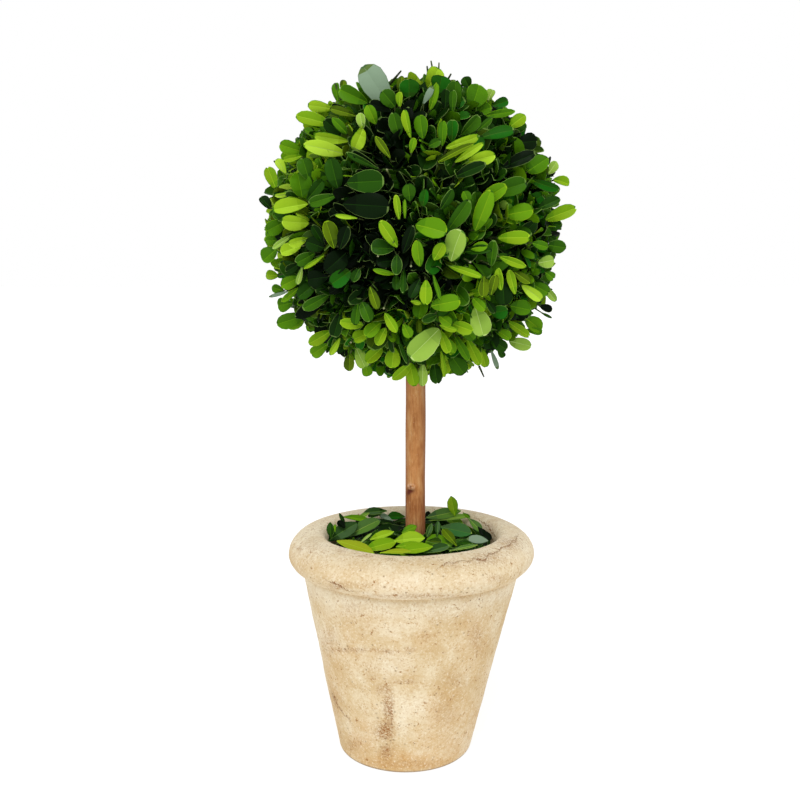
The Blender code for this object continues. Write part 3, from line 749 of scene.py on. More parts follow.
def leaf_faces():
    """The faces of one leaf over its grid of 8 stations by 7 columns, and the side each shows.

    Columns 0 to 5 run over the top from one edge to the other, and column 6 is under the rib.
    """
    last = len(STATIONS) - 1
    quads, sides = [], []
    root, blade, tip = (ONE_ROOT, OTHER_ROOT), (ONE_HALF, OTHER_HALF), (ONE_TIP, OTHER_TIP)
    for station in range(last):
        row, ahead = station * ACROSS, (station + 1) * ACROSS
        one, other = root if station < 2 else blade if station < last - 2 else tip
        top = [ONE_EDGE, one, RIB, other, OTHER_EDGE]
        if station == last - 1:
            top = [ONE_EDGE, ONE_EDGE, ONE_EDGE, OTHER_EDGE, OTHER_EDGE]
        for column in range(len(top)):
            quads.append((row + column, ahead + column, ahead + column + 1, row + column + 1))
        quads.append((row + 5, ahead + 5, ahead + 6, row + 6))
        quads.append((row + 6, ahead + 6, ahead, row))
        sides += [*top, UNDER, UNDER]
    tip = last * ACROSS
    ends = [tuple(range(ACROSS)), tuple(tip + c for c in range(ACROSS - 1, -1, -1))]
    return np.array(quads), np.array(ends), np.array(sides), np.array([UNDER, ONE_EDGE])


def outline(shape, share):
    """The half width before scaling, s^wedge (1 - s^blunt)^point, at shares s of the length."""
    return share ** shape["wedge"] * (1 - share ** shape["blunt"]) ** shape["point"]


def leaf_points(leaf):
    """Points (leaves, stations, columns, 3) of many leaves from arrays that say how each lies.

    The midline is an arc that turns by bend radians towards the underside along the length.
    Heights over it are the width times cup times the square of the way across and fold times
    the way across, plus a ripple along the edges. The twist then rolls each station.
    """
    shape = {key: value[:, None, None] for key, value in leaf.items() if value.ndim == 1}
    share, width = STATIONS[None, :, None], shape["width"]
    widest = outline(shape, FINE_STATIONS[None, :, None]).max(axis=1, keepdims=True)
    half = width / 2 * outline(shape, np.clip(share, 0.004, 0.988)) / widest
    half = np.maximum(half, STALK_HALF_WIDTH * (1 - share))
    inner = half - np.minimum(EDGE_WIDTH, 0.36 * half)
    rib = np.minimum(RIB_HALF_WIDTH * (1.25 - 0.75 * share), 0.22 * half)
    across = np.concatenate([-half, -inner, -rib, rib, inner, half, np.zeros_like(half)], axis=2)

    aside = across / (width / 2)
    lift = RAISED + width * (shape["cup"] * aside**2 + shape["fold"] * np.abs(aside))
    lift = lift + shape["ripple"] * np.sin(9 * share + 2 * aside) * aside
    to_middle = 1 - np.abs(across) / np.maximum(half, 1e-6)
    notch = shape["notch"] * np.clip((share - 0.9) / 0.1, 0, 1) * to_middle
    turned = shape["bend"] * share
    arc_radius = shape["length"] / shape["bend"]
    forward = arc_radius * np.sin(turned) - notch + lift * np.sin(turned)
    upward = lift * np.cos(turned) - arc_radius * (1 - np.cos(turned))
    roll = shape["twist"] * share
    sideways = across * np.cos(roll) - upward * np.sin(roll)
    upward = across * np.sin(roll) + upward * np.cos(roll)

    along = unit(leaf["along"])
    left = unit(np.cross(leaf["face"], along))
    ways = ((along, forward), (left, sideways), (np.cross(along, left), upward))
    return leaf["root"][:, None, None] + sum(way[:, None, None] * run[..., None] for way, run in ways)


LEAF_QUADS, LEAF_ENDS, QUAD_SIDES, END_SIDES = leaf_faces()
print("a leaf has", len(LEAF_QUADS) + len(LEAF_ENDS), "faces")

# %% [markdown]
# ### Leaf greens
# Preserved boxwood is dyed and kept supple with glycerine: a half gloss, IOR 1.45, roughness
# about 0.4. Sprays differ from nearly black green to lime, and undersides are paler and
# yellower. A colour belongs to a whole spray, so each is a plain base colour, dealt out by
# spray. A leaf is creased along its rib, and one half is painted darker than the other as
# painted shade; the root is painted darker still as painted shade. The cut edge of the thick
# blade is pale on some leaves, and on others it is painted dark as a shadow line.

# %% Leaf materials
# Each row: colour, lightness, then the rows of its shaded half (painted shade), pale edge, dark
# edge (a painted shadow line), rib and underside. The last four rows are the greens of edges.
LEAF_TONES = [
    ("#050f03", 0, 0, 20, 0, 1, 2), ("#0a1d05", 1, 0, 20, 0, 2, 3), ("#163507", 2, 1, 20, 1, 3, 4),
    ("#244c09", 3, 2, 21, 2, 4, 5), ("#38650c", 4, 3, 21, 2, 5, 6), ("#4d7f0c", 5, 4, 6, 3, 6, 7),
    ("#65960f", 6, 5, 7, 4, 7, 8), ("#83a817", 7, 6, 8, 5, 8, 9), ("#9dc32a", 8, 7, 9, 5, 9, 13),
    ("#add23c", 9, 8, 9, 6, 22, 13), ("#5c760d", 6, 11, 7, 11, 7, 8), ("#3c540c", 3, 2, 21, 2, 10, 10),
    ("#1b600c", 4, 3, 21, 2, 4, 5), ("#94b848", 8, 19, 23, 17, 23, 13), ("#82997f", 8, 14, 15, 15, 14, 14),
    ("#456438", 4, 2, 21, 2, 17, 17), ("#94a41e", 8, 16, 8, 10, 8, 16), ("#5c8632", 6, 15, 22, 15, 22, 13),
    ("#3a7236", 4, 15, 22, 3, 17, 17), ("#7a9e3a", 7, 17, 22, 17, 22, 13),
    ("#5a7138", 0, 20, 20, 20, 20, 20), ("#688a3c", 0, 21, 21, 21, 21, 21),
    ("#9ab850", 0, 22, 22, 22, 22, 22), ("#b4cf78", 0, 23, 23, 23, 23, 23),
]  # fmt: skip
OLIVE, DARK_OLIVE, DEEP_GREEN, PALE, BLUE_GREY, EDGE_GREEN = 10, 11, 12, 13, 14, 20
LIGHTNESS, SHADED, PALE_EDGE, SHADOW_EDGE, RIB_OF, UNDER_OF = np.array([row[1:] for row in LEAF_TONES]).T
# The half-shaded colours (painted shade) follow the rows above, one for each row before the greens of edges.
HALF_SHADED = len(LEAF_TONES) + np.arange(EDGE_GREEN)
GLOSSY_ROWS = 8


def between(first, second):
    """The hex colour halfway between two, channel by channel, as the eye sees them."""
    channels = [(int(first[i : i + 2], 16) + int(second[i : i + 2], 16)) // 2 for i in (1, 3, 5)]
    return "#" + "".join(f"{channel:02x}" for channel in channels)


def leaf_material(number, colour):
    """A supple preserved leaf: the plain greens are glossier than the pale undersides."""
    roughness = 0.38 if number < GLOSSY_ROWS else 0.5
    looks = {"Base_Color": linear(colour), "Roughness": roughness, "IOR": 1.45, "Specular_IOR_Level": 0.05}
    return new_material(f"leaf_green_{number:02d}", **looks)


leaf_colours = [row[0] for row in LEAF_TONES]
leaf_colours += [between(row[0], leaf_colours[row[2]]) for row in LEAF_TONES[:EDGE_GREEN]]
LEAF_MATERIALS = [leaf_material(number, colour) for number, colour in enumerate(leaf_colours)]


def leaf_slots(leaf):
    """The material of each of the ten sides of each leaf.

    The half that leans up to the light keeps the tone, and the other is painted half a step
    darker as painted shade: creased upwards, the lit half is the one whose other neighbour is
    higher. Each root is painted darker again, as painted shade. A number edge from 0 to 1 says
    which edges are pale; the others are painted dark as a shadow line.
    """
    tone, edge = leaf["tone"].astype(int), leaf["edge"]
    one_lit = (np.cross(leaf["face"], leaf["along"])[:, 2] > 0) == (leaf["fold"] > 0)
    half, dark = HALF_SHADED[tone], SHADED[tone]
    halves = [np.where(one_lit, tone, half), np.where(one_lit, half, tone)]
    shaded_roots = [np.where(one_lit, half, dark), np.where(one_lit, dark, half)]
    tips = [np.where(tone == BLUE_GREY, EDGE_GREEN, side) for side in halves]
    pale_share = np.where(LIGHTNESS[tone] < 3, 0.6, 1.0)
    one_pale = edge < 0.50 * pale_share
    other_pale = (edge < 0.20 * pale_share) | (edge > 1 - 0.3 * pale_share)
    edges = [np.where(pale_side, PALE_EDGE[tone], SHADOW_EDGE[tone]) for pale_side in (one_pale, other_pale)]
    return np.stack([*halves, *shaded_roots, *tips, *edges, RIB_OF[tone], UNDER_OF[tone]], axis=1)


def picked(leaf, keep):
    """Only the leaves that are marked True."""
    return {key: value[keep] for key, value in leaf.items()}


def joined(first, second):
    """Two sets of leaves as one."""
    return {key: np.concatenate([first[key], second[key]]) for key in first}


def join_leaves(name, leaf):
    """One piece from a set of leaves. Each leaf's tone number picks its materials."""
    points = leaf_points(leaf)
    start = (np.arange(len(points)) * len(STATIONS) * ACROSS)[:, None, None]
    quads = (LEAF_QUADS[None] + start).reshape(-1, 4)
    ends = (LEAF_ENDS[None] + start).reshape(-1, ACROSS)
    by_side = leaf_slots(leaf)
    slots = np.concatenate([by_side[:, QUAD_SIDES].ravel(), by_side[:, END_SIDES].ravel()])
    return make_piece(name, points.reshape(-1, 3), [quads, ends], LEAF_MATERIALS, slots, sharp_above=62)


print(len(LEAF_MATERIALS), "leaf materials")

# %% [markdown]
# ### Leaves seen in the photograph
# The leaves that stand out in the picture are laid where they show. Each has a plane through
# its middle, and the rays through its two ends meet that plane. Its width follows from its
# share of the picture: real area = seen area times (depth / f) squared, over the plane's slant.


# %% Leaves by their pixels
def drawn(chance, count, limits):
    """Random traits of some leaves: for each name in turn, even draws between its two limits."""
    return {name: chance.uniform(low, high, count) for name, (low, high) in limits.items()}


SEEN_TRAITS = {
    "wedge": (0.45, 0.72), "blunt": (1.9, 3.0), "point": (0.42, 0.62),
    "cup": (-0.04, 0.16), "fold": (0.02, 0.28),
}  # fmt: skip


def leaves_seen(rows, middles, normals, bend, chance):
    """Leaves from rows (root and tip in pixels, width in pixels, tone) that lie in given planes."""
    count = len(rows)
    ends = []
    for pixel in (rows[:, 0:2], rows[:, 2:4]):
        rays = photo_rays(pixel)
        ends.append(CAMERA_AT + rays * dots(middles - CAMERA_AT, normals) / dots(rays, normals))
    root, tip = ends
    chord = np.linalg.norm(tip - root, axis=1)
    way = (tip - root) / chord[:, None]
    seen_length = np.linalg.norm(rows[:, 2:4] - rows[:, 0:2], axis=1)
    depth = (middles - CAMERA_AT) @ AHEAD
    slant = np.abs(dots(unit(middles - CAMERA_AT), normals))[:, 0]
    half_bend = bend[:, None] / 2
    return {
        "root": root,
        "along": way * np.cos(half_bend) + normals * np.sin(half_bend),
        "face": normals,
        "length": chord * half_bend[:, 0] / np.sin(half_bend[:, 0]),
        "width": seen_length * rows[:, 4] * (depth / FOCAL_PIXELS) ** 2 / (slant * chord),
        **drawn(chance, count, SEEN_TRAITS),
        "bend": bend,
        "twist": chance.normal(size=count) * 0.12,
        "notch": np.where((chance.random(count) < 0.15) & (rows[:, 5] != BLUE_GREY), 0.6, 0.0) * MM,
        "ripple": chance.normal(size=count) * 0.15 * MM,
        "tone": rows[:, 5],
        "edge": chance.random(count),
    }


def hides(points, rows, seen, margin):
    """True for each leaf that would cover a seen leaf, from some points (leaves, points, 3) of each.

    A point covers a seen leaf where it lies above the leaf's plane, less a margin, and its pixel
    falls in the ellipse that the leaf fills. That ellipse ends short of the root.
    """
    start, way = rows[:, 0:2], rows[:, 2:4] - rows[:, 0:2]
    span = np.linalg.norm(way, axis=1)
    planes = dots(seen["root"], seen["face"])[:, 0]
    covered = np.zeros(len(points), bool)
    for here in points.swapaxes(0, 1):
        off = photo_pixels(here)[:, None, :] - start
        ahead = (off * way).sum(-1) / span**2
        aside = (off[..., 0] * way[:, 1] - off[..., 1] * way[:, 0]) / span / (rows[:, 4] / 2)
        within = ((ahead - 0.60) / 0.40) ** 2 + (aside / 1.05) ** 2 < 1
        covered |= (within & (here @ seen["face"].T - planes > -margin)).any(axis=1)
    return covered


# %% [markdown]
# ## The ball of sprigs
# Sprigs about 20 mm long are pushed into a round core, all over, and clipped to a ball. As in
# the CAD source, they stand at directions dealt out by the golden angle and lean a little.
# Here each carries four opposite pairs of leaves, every pair a quarter turn from the last,
# opening wide low down and closing towards the tip. A leaf is as long as the clippers let it
# be. Seen from the front, the middle of the ball then shows dark upper sides and the rim shows
# yellower undersides, as on the real one. On the side that faces the viewer a second, lower
# layer of sprigs fills what lies between the leaves that stand out.

# %% Sprigs
BALL_CENTRE = np.array([5.0, 0.0, 315.0]) * MM
BALL_REACH = 92.0 * MM
NEAR_WAY = unit(CAMERA_AT - BALL_CENTRE)
SPRIG_COUNT, INNER_COUNT = 520, 560
SPRIG_ROOT, TWIG_PAST_LEAVES = 58.0 * MM, 0.5 * MM
SPRIG_SWAY, SPRIG_LEAN = 0.62, 0.45
GOLDEN_TURN = math.pi * (3 - math.sqrt(5))
# Each sprig's four pairs of leaves, from its foot to its tip.
NODE_RUN = np.array([4.5, 9.5, 14.5, 18.5]) * MM
NODE_OPENING = np.radians([54.0, 44.0, 32.0, 16.0])
# How much darker each pair is painted: the lower pairs lie deeper in the ball, so this is painted shade.
NODE_PAINTED_SHADE = np.array([-0.24, -0.12, 0.0, 0.02])
NODE_LONGEST = np.array([19.0, 22.0, 20.5, 15.5]) * MM
NODE_SHORTEST = np.array([12.0, 13.0, 11.0, 8.0]) * MM
NODE_WIDTH = np.array([1.0, 1.0, 1.0, 0.86])
SPRIG_TRAITS = {
    "width": (0.40, 0.60), "wedge": (0.45, 0.72), "blunt": (1.8, 3.0), "point": (0.42, 0.64),
    "cup": (-0.10, 0.20), "fold": (-0.05, 0.22), "bend": (-0.35, 0.65),
}  # fmt: skip
# Some sprigs have another hue. Each row: a range of luck, the two tones that the ones it
# changes lie between, and the hue.
HUES = [
    (0.0, 0.14, 4, 8, OLIVE), (0.0, 0.14, 1, 4, DARK_OLIVE),
    (0.80, 1.0, 2, 6, DEEP_GREEN), (0.55, 0.68, 6, 10, PALE),
]  # fmt: skip
# Each row: across and down in the photograph, radius in pixels, and how much lighter. The lighter
# patches are yellower sprays; the darker ones in the middle are painted shade.
TINT_AND_SHADE_PATCHES = [
    (305, 140, 42, 0.34), (288, 200, 34, 0.30), (285, 268, 32, 0.16), (375, 85, 26, 0.10),
    (432, 82, 22, 0.14), (430, 180, 48, -0.28), (372, 205, 46, -0.30), (345, 272, 38, -0.14),
    (466, 150, 22, 0.34), (500, 185, 30, 0.06), (535, 215, 34, 0.16), (530, 290, 34, 0.12),
    (455, 320, 42, 0.18), (395, 355, 34, 0.16), (335, 335, 34, 0.10), (440, 240, 20, 0.20),
    (395, 275, 26, -0.16),
]  # fmt: skip


def golden_directions(count, chance):
    """Directions spread evenly over a sphere by the golden angle, each nudged a little."""
    index = np.arange(count)
    height = 1 - (2 * index + 1) / count
    ring = np.sqrt(1 - height**2)
    even = np.stack([ring * np.cos(index * GOLDEN_TURN), ring * np.sin(index * GOLDEN_TURN), height], axis=1)
    return unit(even + chance.normal(size=(count, 3)) * 0.35 / math.sqrt(count))


def across_of(directions):
    """Two unit vectors at right angles to each direction and to each other."""
    first = unit(np.cross(directions, [0.31, 0.87, 0.38]))
    return first, np.cross(directions, first)


def towards(first, second, angle):
    """The vector at an angle from the first of two towards the second: a cos t + b sin t."""
    return first * np.cos(angle) + second * np.sin(angle)


def stem_gap(points):
    """How far points lie from the stick's middle line, across it."""
    return np.hypot(points[..., 0] - STEM_X, points[..., 1])


def sprig_tone(directions):
    """How light a spray is, 0 to 1: clouds over the ball, painted shade on the near side, and named patches
    there.
    """
    pixels = photo_pixels(BALL_CENTRE + directions * 86 * MM)
    near = directions @ NEAR_WAY > 0.2
    # The near side's sprays, under the seen leaves, are painted darker: painted shade.
    tone = 0.40 + 0.14 * waves(directions, 61, 0.9) - 0.14 * near
    for across, down, radius, change in TINT_AND_SHADE_PATCHES:
        tone = tone + near * change * bell((pixels[:, 0] - across) / radius, (pixels[:, 1] - down) / radius)
    return tone


def sprigs_at(normals, middle_reach, lighter, chance):
    """Sprigs at the given directions: foot, tip and axis of each, its stretch, reach and tone.

    An axis is its direction, swayed by slow waves and leaning to a random side. The reach is
    where the clippers cut, from the ball's centre: the given mm by chance, and a little less
    on the side that faces the viewer and round its edge.
    """
    number = len(normals)
    sway = np.stack([waves(normals, seed, 1.3) for seed in (51, 52, 53)], axis=1)
    sway = sway - dots(sway, normals) * normals
    aside = towards(*across_of(normals), chance.uniform(0, 2 * math.pi, (number, 1)))
    axes = unit(normals + SPRIG_SWAY * sway + aside * chance.uniform(0, SPRIG_LEAN, (number, 1)))
    stretch = chance.uniform(0.92, 1.08, (number, 1))
    reach = middle_reach + np.clip(chance.normal(size=number) * 2.2, -6.0, 2.7)
    facing_viewer = normals @ NEAR_WAY
    reach = reach - 3.5 * np.clip(facing_viewer * 2.5 - 0.4, 0, 1) - 2.6 * bell((facing_viewer - 0.16) / 0.28)
    feet = BALL_CENTRE + normals * SPRIG_ROOT
    run = np.minimum(NODE_RUN[-1] + TWIG_PAST_LEAVES, (middle_reach - 66.0) * MM)
    tone = sprig_tone(normals) + lighter + chance.normal(size=number) * 0.10
    tips = feet + axes * run * stretch
    return {"foot": feet, "tip": tips, "axis": axes, "stretch": stretch, "reach": reach * MM, "tone": tone}


def leaves_on(sprigs, chance):
    """The leaves of sprigs, in opposite pairs, less those that are too short or meet the stick.

    A leaf points along cos(opening) of the axis plus sin(opening) of the way out. Its length is
    what is left to the reach on a sphere: the root of (m^2 + r^2 - d^2) - m, with d the root's
    distance from the centre and m its share along the leaf.
    """
    number, pairs = len(sprigs["foot"]), len(NODE_RUN)
    count = number * pairs * 2
    sprig = np.repeat(np.arange(number), pairs * 2)
    node = np.tile(np.repeat(np.arange(pairs), 2), number)
    sign = np.tile([1.0, -1.0], number * pairs)[:, None]
    axis = sprigs["axis"][sprig]
    roll = chance.uniform(0, math.pi, number)[sprig] + node * math.pi / 2
    roll = roll + chance.normal(size=count) * 0.16
    outward = towards(*across_of(axis), roll[:, None]) * sign
    opening = NODE_OPENING[node] + chance.normal(size=count) * math.radians(11.0)
    opening = np.clip(opening, math.radians(6), math.radians(80))[:, None]
    along = towards(axis, outward, opening)
    face = towards(-outward, axis, opening)
    face = towards(face, np.cross(along, face), chance.normal(size=(count, 1)) * math.radians(32.0))
    up_the_twig = axis * NODE_RUN[node][:, None] * sprigs["stretch"][sprig]
    root = sprigs["foot"][sprig] + up_the_twig + outward * 0.5 * MM
    out = root - BALL_CENTRE
    middle = dots(out, along)[:, 0]
    trimmed = sprigs["reach"][sprig] - chance.uniform(0.0, 1.8, count) * MM
    to_reach = np.sqrt(np.maximum(middle**2 + trimmed**2 - dots(out, out)[:, 0], 0)) - middle
    length = np.minimum(NODE_LONGEST[node] * chance.uniform(0.86, 1.04, count), to_reach)
    tone = sprigs["tone"][sprig] + NODE_PAINTED_SHADE[node] + chance.normal(size=count) * 0.055
    tone = np.clip(np.round(10 * tone), 0, 9)
    luck = chance.random(number)[sprig]
    for least, most, above, below, hue in HUES:
        tone = np.where((luck > least) & (luck < most) & (tone > above) & (tone < below), hue, tone)
    leaves = {
        "root": root,
        "along": along,
        "face": face,
        "length": length,
        **drawn(chance, count, SPRIG_TRAITS),
        "twist": chance.normal(size=count) * 0.25,
        "notch": np.where(chance.random(count) < 0.2, chance.uniform(0.3, 0.9, count), 0.0) * MM,
        "ripple": chance.normal(size=count) * 0.25 * MM,
        "tone": tone,
        "edge": chance.random(count),
    }
    leaves["width"] *= length * NODE_WIDTH[node]
    leaves["bend"] += 0.001
    tips, halfway = [root + along * length[:, None] * share for share in (1.0, 0.5)]
    clear = (stem_gap(tips) > 8.5 * MM) & (stem_gap(halfway) > 8.0 * MM) & (stem_gap(root) > 7.0 * MM)
    clear |= tips[:, 2] > STEM_TOP_Z + 4 * MM
    return picked(leaves, clear & (length > NODE_SHORTEST[node]))


chance = np.random.default_rng(11)
outer_sprigs = sprigs_at(golden_directions(SPRIG_COUNT, chance), 89.0, 0.0, chance)
outer_leaves = leaves_on(outer_sprigs, chance)
inner_chance = np.random.default_rng(12)
inner_normals = golden_directions(INNER_COUNT, inner_chance)
inner_normals = inner_normals[inner_normals @ NEAR_WAY > 0.05]
# The lower layer is painted a little darker: painted shade.
inner_sprigs = sprigs_at(inner_normals, 84.0, -0.02, inner_chance)
sprig_leaves = joined(outer_leaves, leaves_on(inner_sprigs, inner_chance))
all_sprigs = joined(outer_sprigs, inner_sprigs)
mean_tone = round(float(sprig_leaves["tone"].mean()), 2)
print(len(all_sprigs["foot"]), "sprigs,", len(sprig_leaves["tone"]), "leaves, tone", mean_tone)

# %% [markdown]
# ### The near side's leaves
# A leaf near the middle of the ball shows with its tip towards the viewer, and one at the edge
# lies across the line of sight. Its middle is where the ray meets a sphere just inside the
# clipped surface, lighter leaves a little further out. At the edge it is the ray's nearest
# point to the ball's centre.

# %% Seen leaves of the ball
# Each row: root across and down, tip across and down, width in pixels, tone.
BALL_LEAVES_SEEN = [
    (342, 91, 344, 80, 7, 10), (399, 93, 402, 76, 8, 10), (409, 98, 409, 79, 20, 12),
    (428, 88, 438, 68, 17, 8), (438, 93, 442, 76, 19, 12), (469, 88, 464, 77, 11, 3),
    (334, 109, 308, 105, 12, 8), (338, 102, 336, 83, 8, 5), (346, 108, 332, 105, 5, 1),
    (356, 116, 330, 108, 9, 10), (368, 103, 340, 89, 16, 5), (390, 107, 365, 65, 26, 14),
    (392, 112, 369, 103, 10, 0), (395, 107, 382, 91, 16, 4), (400, 107, 400, 92, 7, 7),
    (423, 104, 433, 86, 7, 14), (430, 110, 437, 83, 8, 6), (445, 108, 446, 89, 10, 2),
    (452, 114, 453, 90, 8, 4), (455, 110, 456, 80, 16, 4), (471, 109, 479, 85, 21, 5),
    (485, 116, 515, 111, 8, 5), (488, 101, 493, 90, 9, 13), (492, 106, 508, 101, 10, 12),
    (331, 125, 296, 116, 14, 7), (347, 137, 324, 120, 14, 2), (347, 134, 332, 118, 9, 5),
    (363, 129, 360, 113, 9, 13), (363, 129, 354, 150, 14, 8), (376, 124, 368, 105, 12, 6),
    (399, 136, 393, 112, 14, 4), (411, 138, 405, 110, 8, 7), (423, 139, 420, 115, 14, 5),
    (461, 135, 479, 116, 13, 4), (477, 131, 492, 118, 7, 4), (480, 138, 514, 130, 13, 12),
    (509, 128, 525, 115, 13, 7), (516, 131, 526, 124, 9, 3), (302, 156, 283, 160, 7, 7),
    (305, 153, 280, 144, 14, 6), (346, 154, 304, 143, 15, 9), (349, 141, 314, 135, 11, 8),
    (390, 158, 375, 137, 8, 10), (411, 153, 414, 138, 7, 6), (429, 146, 440, 140, 9, 4),
    (442, 146, 443, 121, 9, 5), (446, 148, 479, 137, 11, 8), (452, 142, 453, 120, 12, 12),
    (517, 143, 537, 142, 17, 1), (286, 174, 277, 159, 9, 9), (378, 169, 346, 153, 7, 3),
    (378, 168, 352, 151, 10, 1), (438, 162, 473, 143, 7, 10), (455, 177, 486, 164, 12, 2),
    (455, 162, 483, 142, 8, 8), (465, 163, 495, 155, 14, 8), (501, 169, 536, 153, 13, 1),
    (527, 172, 548, 158, 17, 5), (548, 174, 557, 162, 10, 13), (276, 189, 268, 167, 12, 7),
    (292, 193, 275, 196, 5, 9), (302, 197, 297, 173, 21, 5), (309, 180, 303, 158, 16, 4),
    (338, 189, 330, 158, 17, 3), (338, 195, 309, 204, 12, 4), (347, 183, 384, 181, 23, 3),
    (495, 193, 526, 182, 18, 4), (531, 180, 559, 190, 10, 12), (553, 180, 569, 184, 10, 7),
    (271, 209, 261, 197, 10, 2), (307, 200, 323, 180, 12, 3), (308, 204, 273, 210, 16, 8),
    (343, 204, 389, 207, 26, 1), (357, 218, 335, 215, 5, 8), (399, 219, 396, 195, 7, 7),
    (405, 218, 405, 199, 4, 6), (410, 201, 408, 183, 14, 4), (423, 206, 426, 189, 10, 12),
    (441, 209, 454, 190, 10, 3), (469, 204, 464, 191, 10, 5), (478, 204, 506, 185, 15, 6),
    (507, 215, 533, 210, 17, 6), (538, 209, 560, 199, 10, 3), (284, 222, 266, 231, 15, 5),
    (294, 234, 273, 249, 6, 13), (308, 238, 289, 244, 10, 8), (309, 223, 282, 221, 16, 8),
    (416, 225, 446, 234, 20, 6), (446, 232, 469, 200, 15, 4), (475, 231, 491, 190, 17, 6),
    (498, 238, 530, 237, 14, 7), (545, 220, 576, 208, 14, 7), (277, 241, 265, 240, 10, 5),
    (277, 249, 263, 261, 16, 5), (301, 246, 281, 253, 13, 8), (315, 253, 296, 264, 13, 4),
    (324, 248, 306, 241, 15, 2), (324, 245, 312, 225, 10, 2), (324, 255, 304, 269, 5, 7),
    (334, 248, 326, 221, 15, 10), (340, 249, 347, 226, 13, 1), (346, 253, 326, 272, 22, 1),
    (394, 249, 371, 248, 16, 3), (397, 247, 380, 221, 13, 7), (397, 255, 397, 275, 11, 3),
    (403, 253, 412, 225, 11, 1), (465, 252, 492, 249, 10, 3), (471, 249, 488, 246, 10, 6),
    (500, 257, 526, 267, 9, 7), (532, 243, 548, 248, 9, 5), (548, 245, 566, 248, 14, 4),
    (278, 276, 266, 275, 10, 7), (300, 277, 281, 286, 13, 6), (301, 263, 286, 272, 10, 2),
    (302, 267, 297, 284, 6, 13), (328, 277, 308, 279, 17, 1), (350, 271, 331, 285, 17, 12),
    (359, 269, 353, 282, 10, 3), (393, 261, 376, 263, 14, 1), (394, 274, 373, 270, 6, 6),
    (396, 275, 396, 290, 9, 3), (404, 268, 403, 293, 7, 3), (420, 279, 410, 298, 11, 2),
    (420, 266, 417, 240, 12, 6), (433, 275, 440, 300, 5, 5), (434, 260, 444, 243, 13, 7),
    (449, 266, 482, 277, 8, 7), (451, 261, 461, 230, 22, 13), (484, 276, 483, 297, 11, 10),
    (491, 266, 494, 240, 11, 4), (514, 272, 530, 283, 9, 10), (538, 263, 554, 260, 13, 13),
    (545, 272, 554, 279, 10, 5), (284, 291, 272, 287, 9, 5), (289, 291, 269, 297, 4, 14),
    (299, 288, 282, 302, 7, 6), (315, 284, 298, 298, 14, 3), (324, 298, 295, 317, 14, 0),
    (330, 294, 303, 309, 12, 4), (370, 287, 378, 309, 10, 10), (426, 280, 426, 305, 13, 7),
    (473, 298, 485, 310, 11, 6), (491, 295, 496, 275, 10, 10), (501, 290, 498, 268, 9, 7),
    (503, 280, 504, 305, 18, 2), (515, 294, 509, 270, 9, 7), (522, 285, 542, 299, 11, 9),
    (532, 284, 549, 293, 14, 5), (543, 286, 556, 301, 8, 13), (293, 303, 278, 306, 15, 5),
    (304, 316, 277, 324, 16, 5), (341, 311, 334, 337, 13, 2), (358, 303, 355, 325, 10, 4),
    (362, 302, 371, 321, 13, 4), (385, 313, 397, 332, 10, 7), (411, 301, 421, 303, 5, 7),
    (431, 306, 460, 300, 17, 6), (437, 315, 422, 321, 9, 3), (439, 316, 451, 325, 11, 6),
    (475, 307, 483, 336, 21, 13), (486, 300, 495, 313, 8, 2), (491, 313, 508, 310, 15, 12),
    (510, 306, 531, 310, 16, 5), (525, 318, 541, 330, 16, 6), (540, 306, 552, 310, 8, 0),
    (542, 313, 552, 318, 3, 3), (304, 322, 286, 323, 15, 6), (331, 331, 309, 344, 13, 7),
    (340, 338, 330, 355, 7, 8), (363, 325, 340, 322, 11, 7), (370, 333, 353, 340, 13, 7),
    (381, 322, 365, 336, 14, 6), (386, 328, 377, 345, 11, 7), (390, 333, 393, 353, 6, 2),
    (397, 336, 408, 363, 5, 3), (403, 324, 410, 338, 11, 6), (439, 329, 410, 357, 25, 13),
    (440, 325, 457, 331, 7, 7), (440, 330, 449, 353, 10, 7), (449, 339, 454, 353, 8, 6),
    (453, 324, 473, 331, 13, 7), (455, 337, 469, 360, 9, 5), (467, 339, 480, 365, 11, 7),
    (490, 338, 506, 350, 13, 3), (495, 330, 510, 339, 10, 6), (506, 321, 529, 337, 9, 7),
    (525, 330, 542, 332, 8, 5), (328, 344, 312, 355, 13, 6), (350, 353, 349, 371, 11, 10),
    (356, 348, 365, 368, 14, 13), (382, 348, 366, 362, 13, 7), (394, 347, 392, 368, 16, 7),
    (441, 350, 445, 377, 5, 7), (449, 353, 464, 374, 17, 4), (480, 347, 486, 367, 10, 7),
    (491, 350, 498, 369, 5, 14), (498, 349, 504, 357, 7, 3), (509, 341, 531, 346, 13, 13),
    (365, 363, 368, 376, 11, 6), (410, 362, 415, 386, 13, 7), (411, 363, 392, 379, 10, 7),
    (423, 364, 422, 386, 11, 13), (434, 363, 437, 384, 13, 3),
]  # fmt: skip


def on_ball(pixels, radius):
    """Where rays first meet a sphere about the ball's centre, or else pass nearest to it."""
    rays = photo_rays(pixels)
    middle = dots(BALL_CENTRE - CAMERA_AT, rays)
    passing = middle**2 - ((BALL_CENTRE - CAMERA_AT) ** 2).sum() + np.reshape(radius, (-1, 1)) ** 2
    return CAMERA_AT + rays * (middle - np.sqrt(np.maximum(passing, 0.0)))


def mm_range(lengths):
    """The least, the middle and the greatest of some lengths in mm, for printing."""
    return np.round(np.percentile(lengths, [0, 50, 100]) / MM, 1)


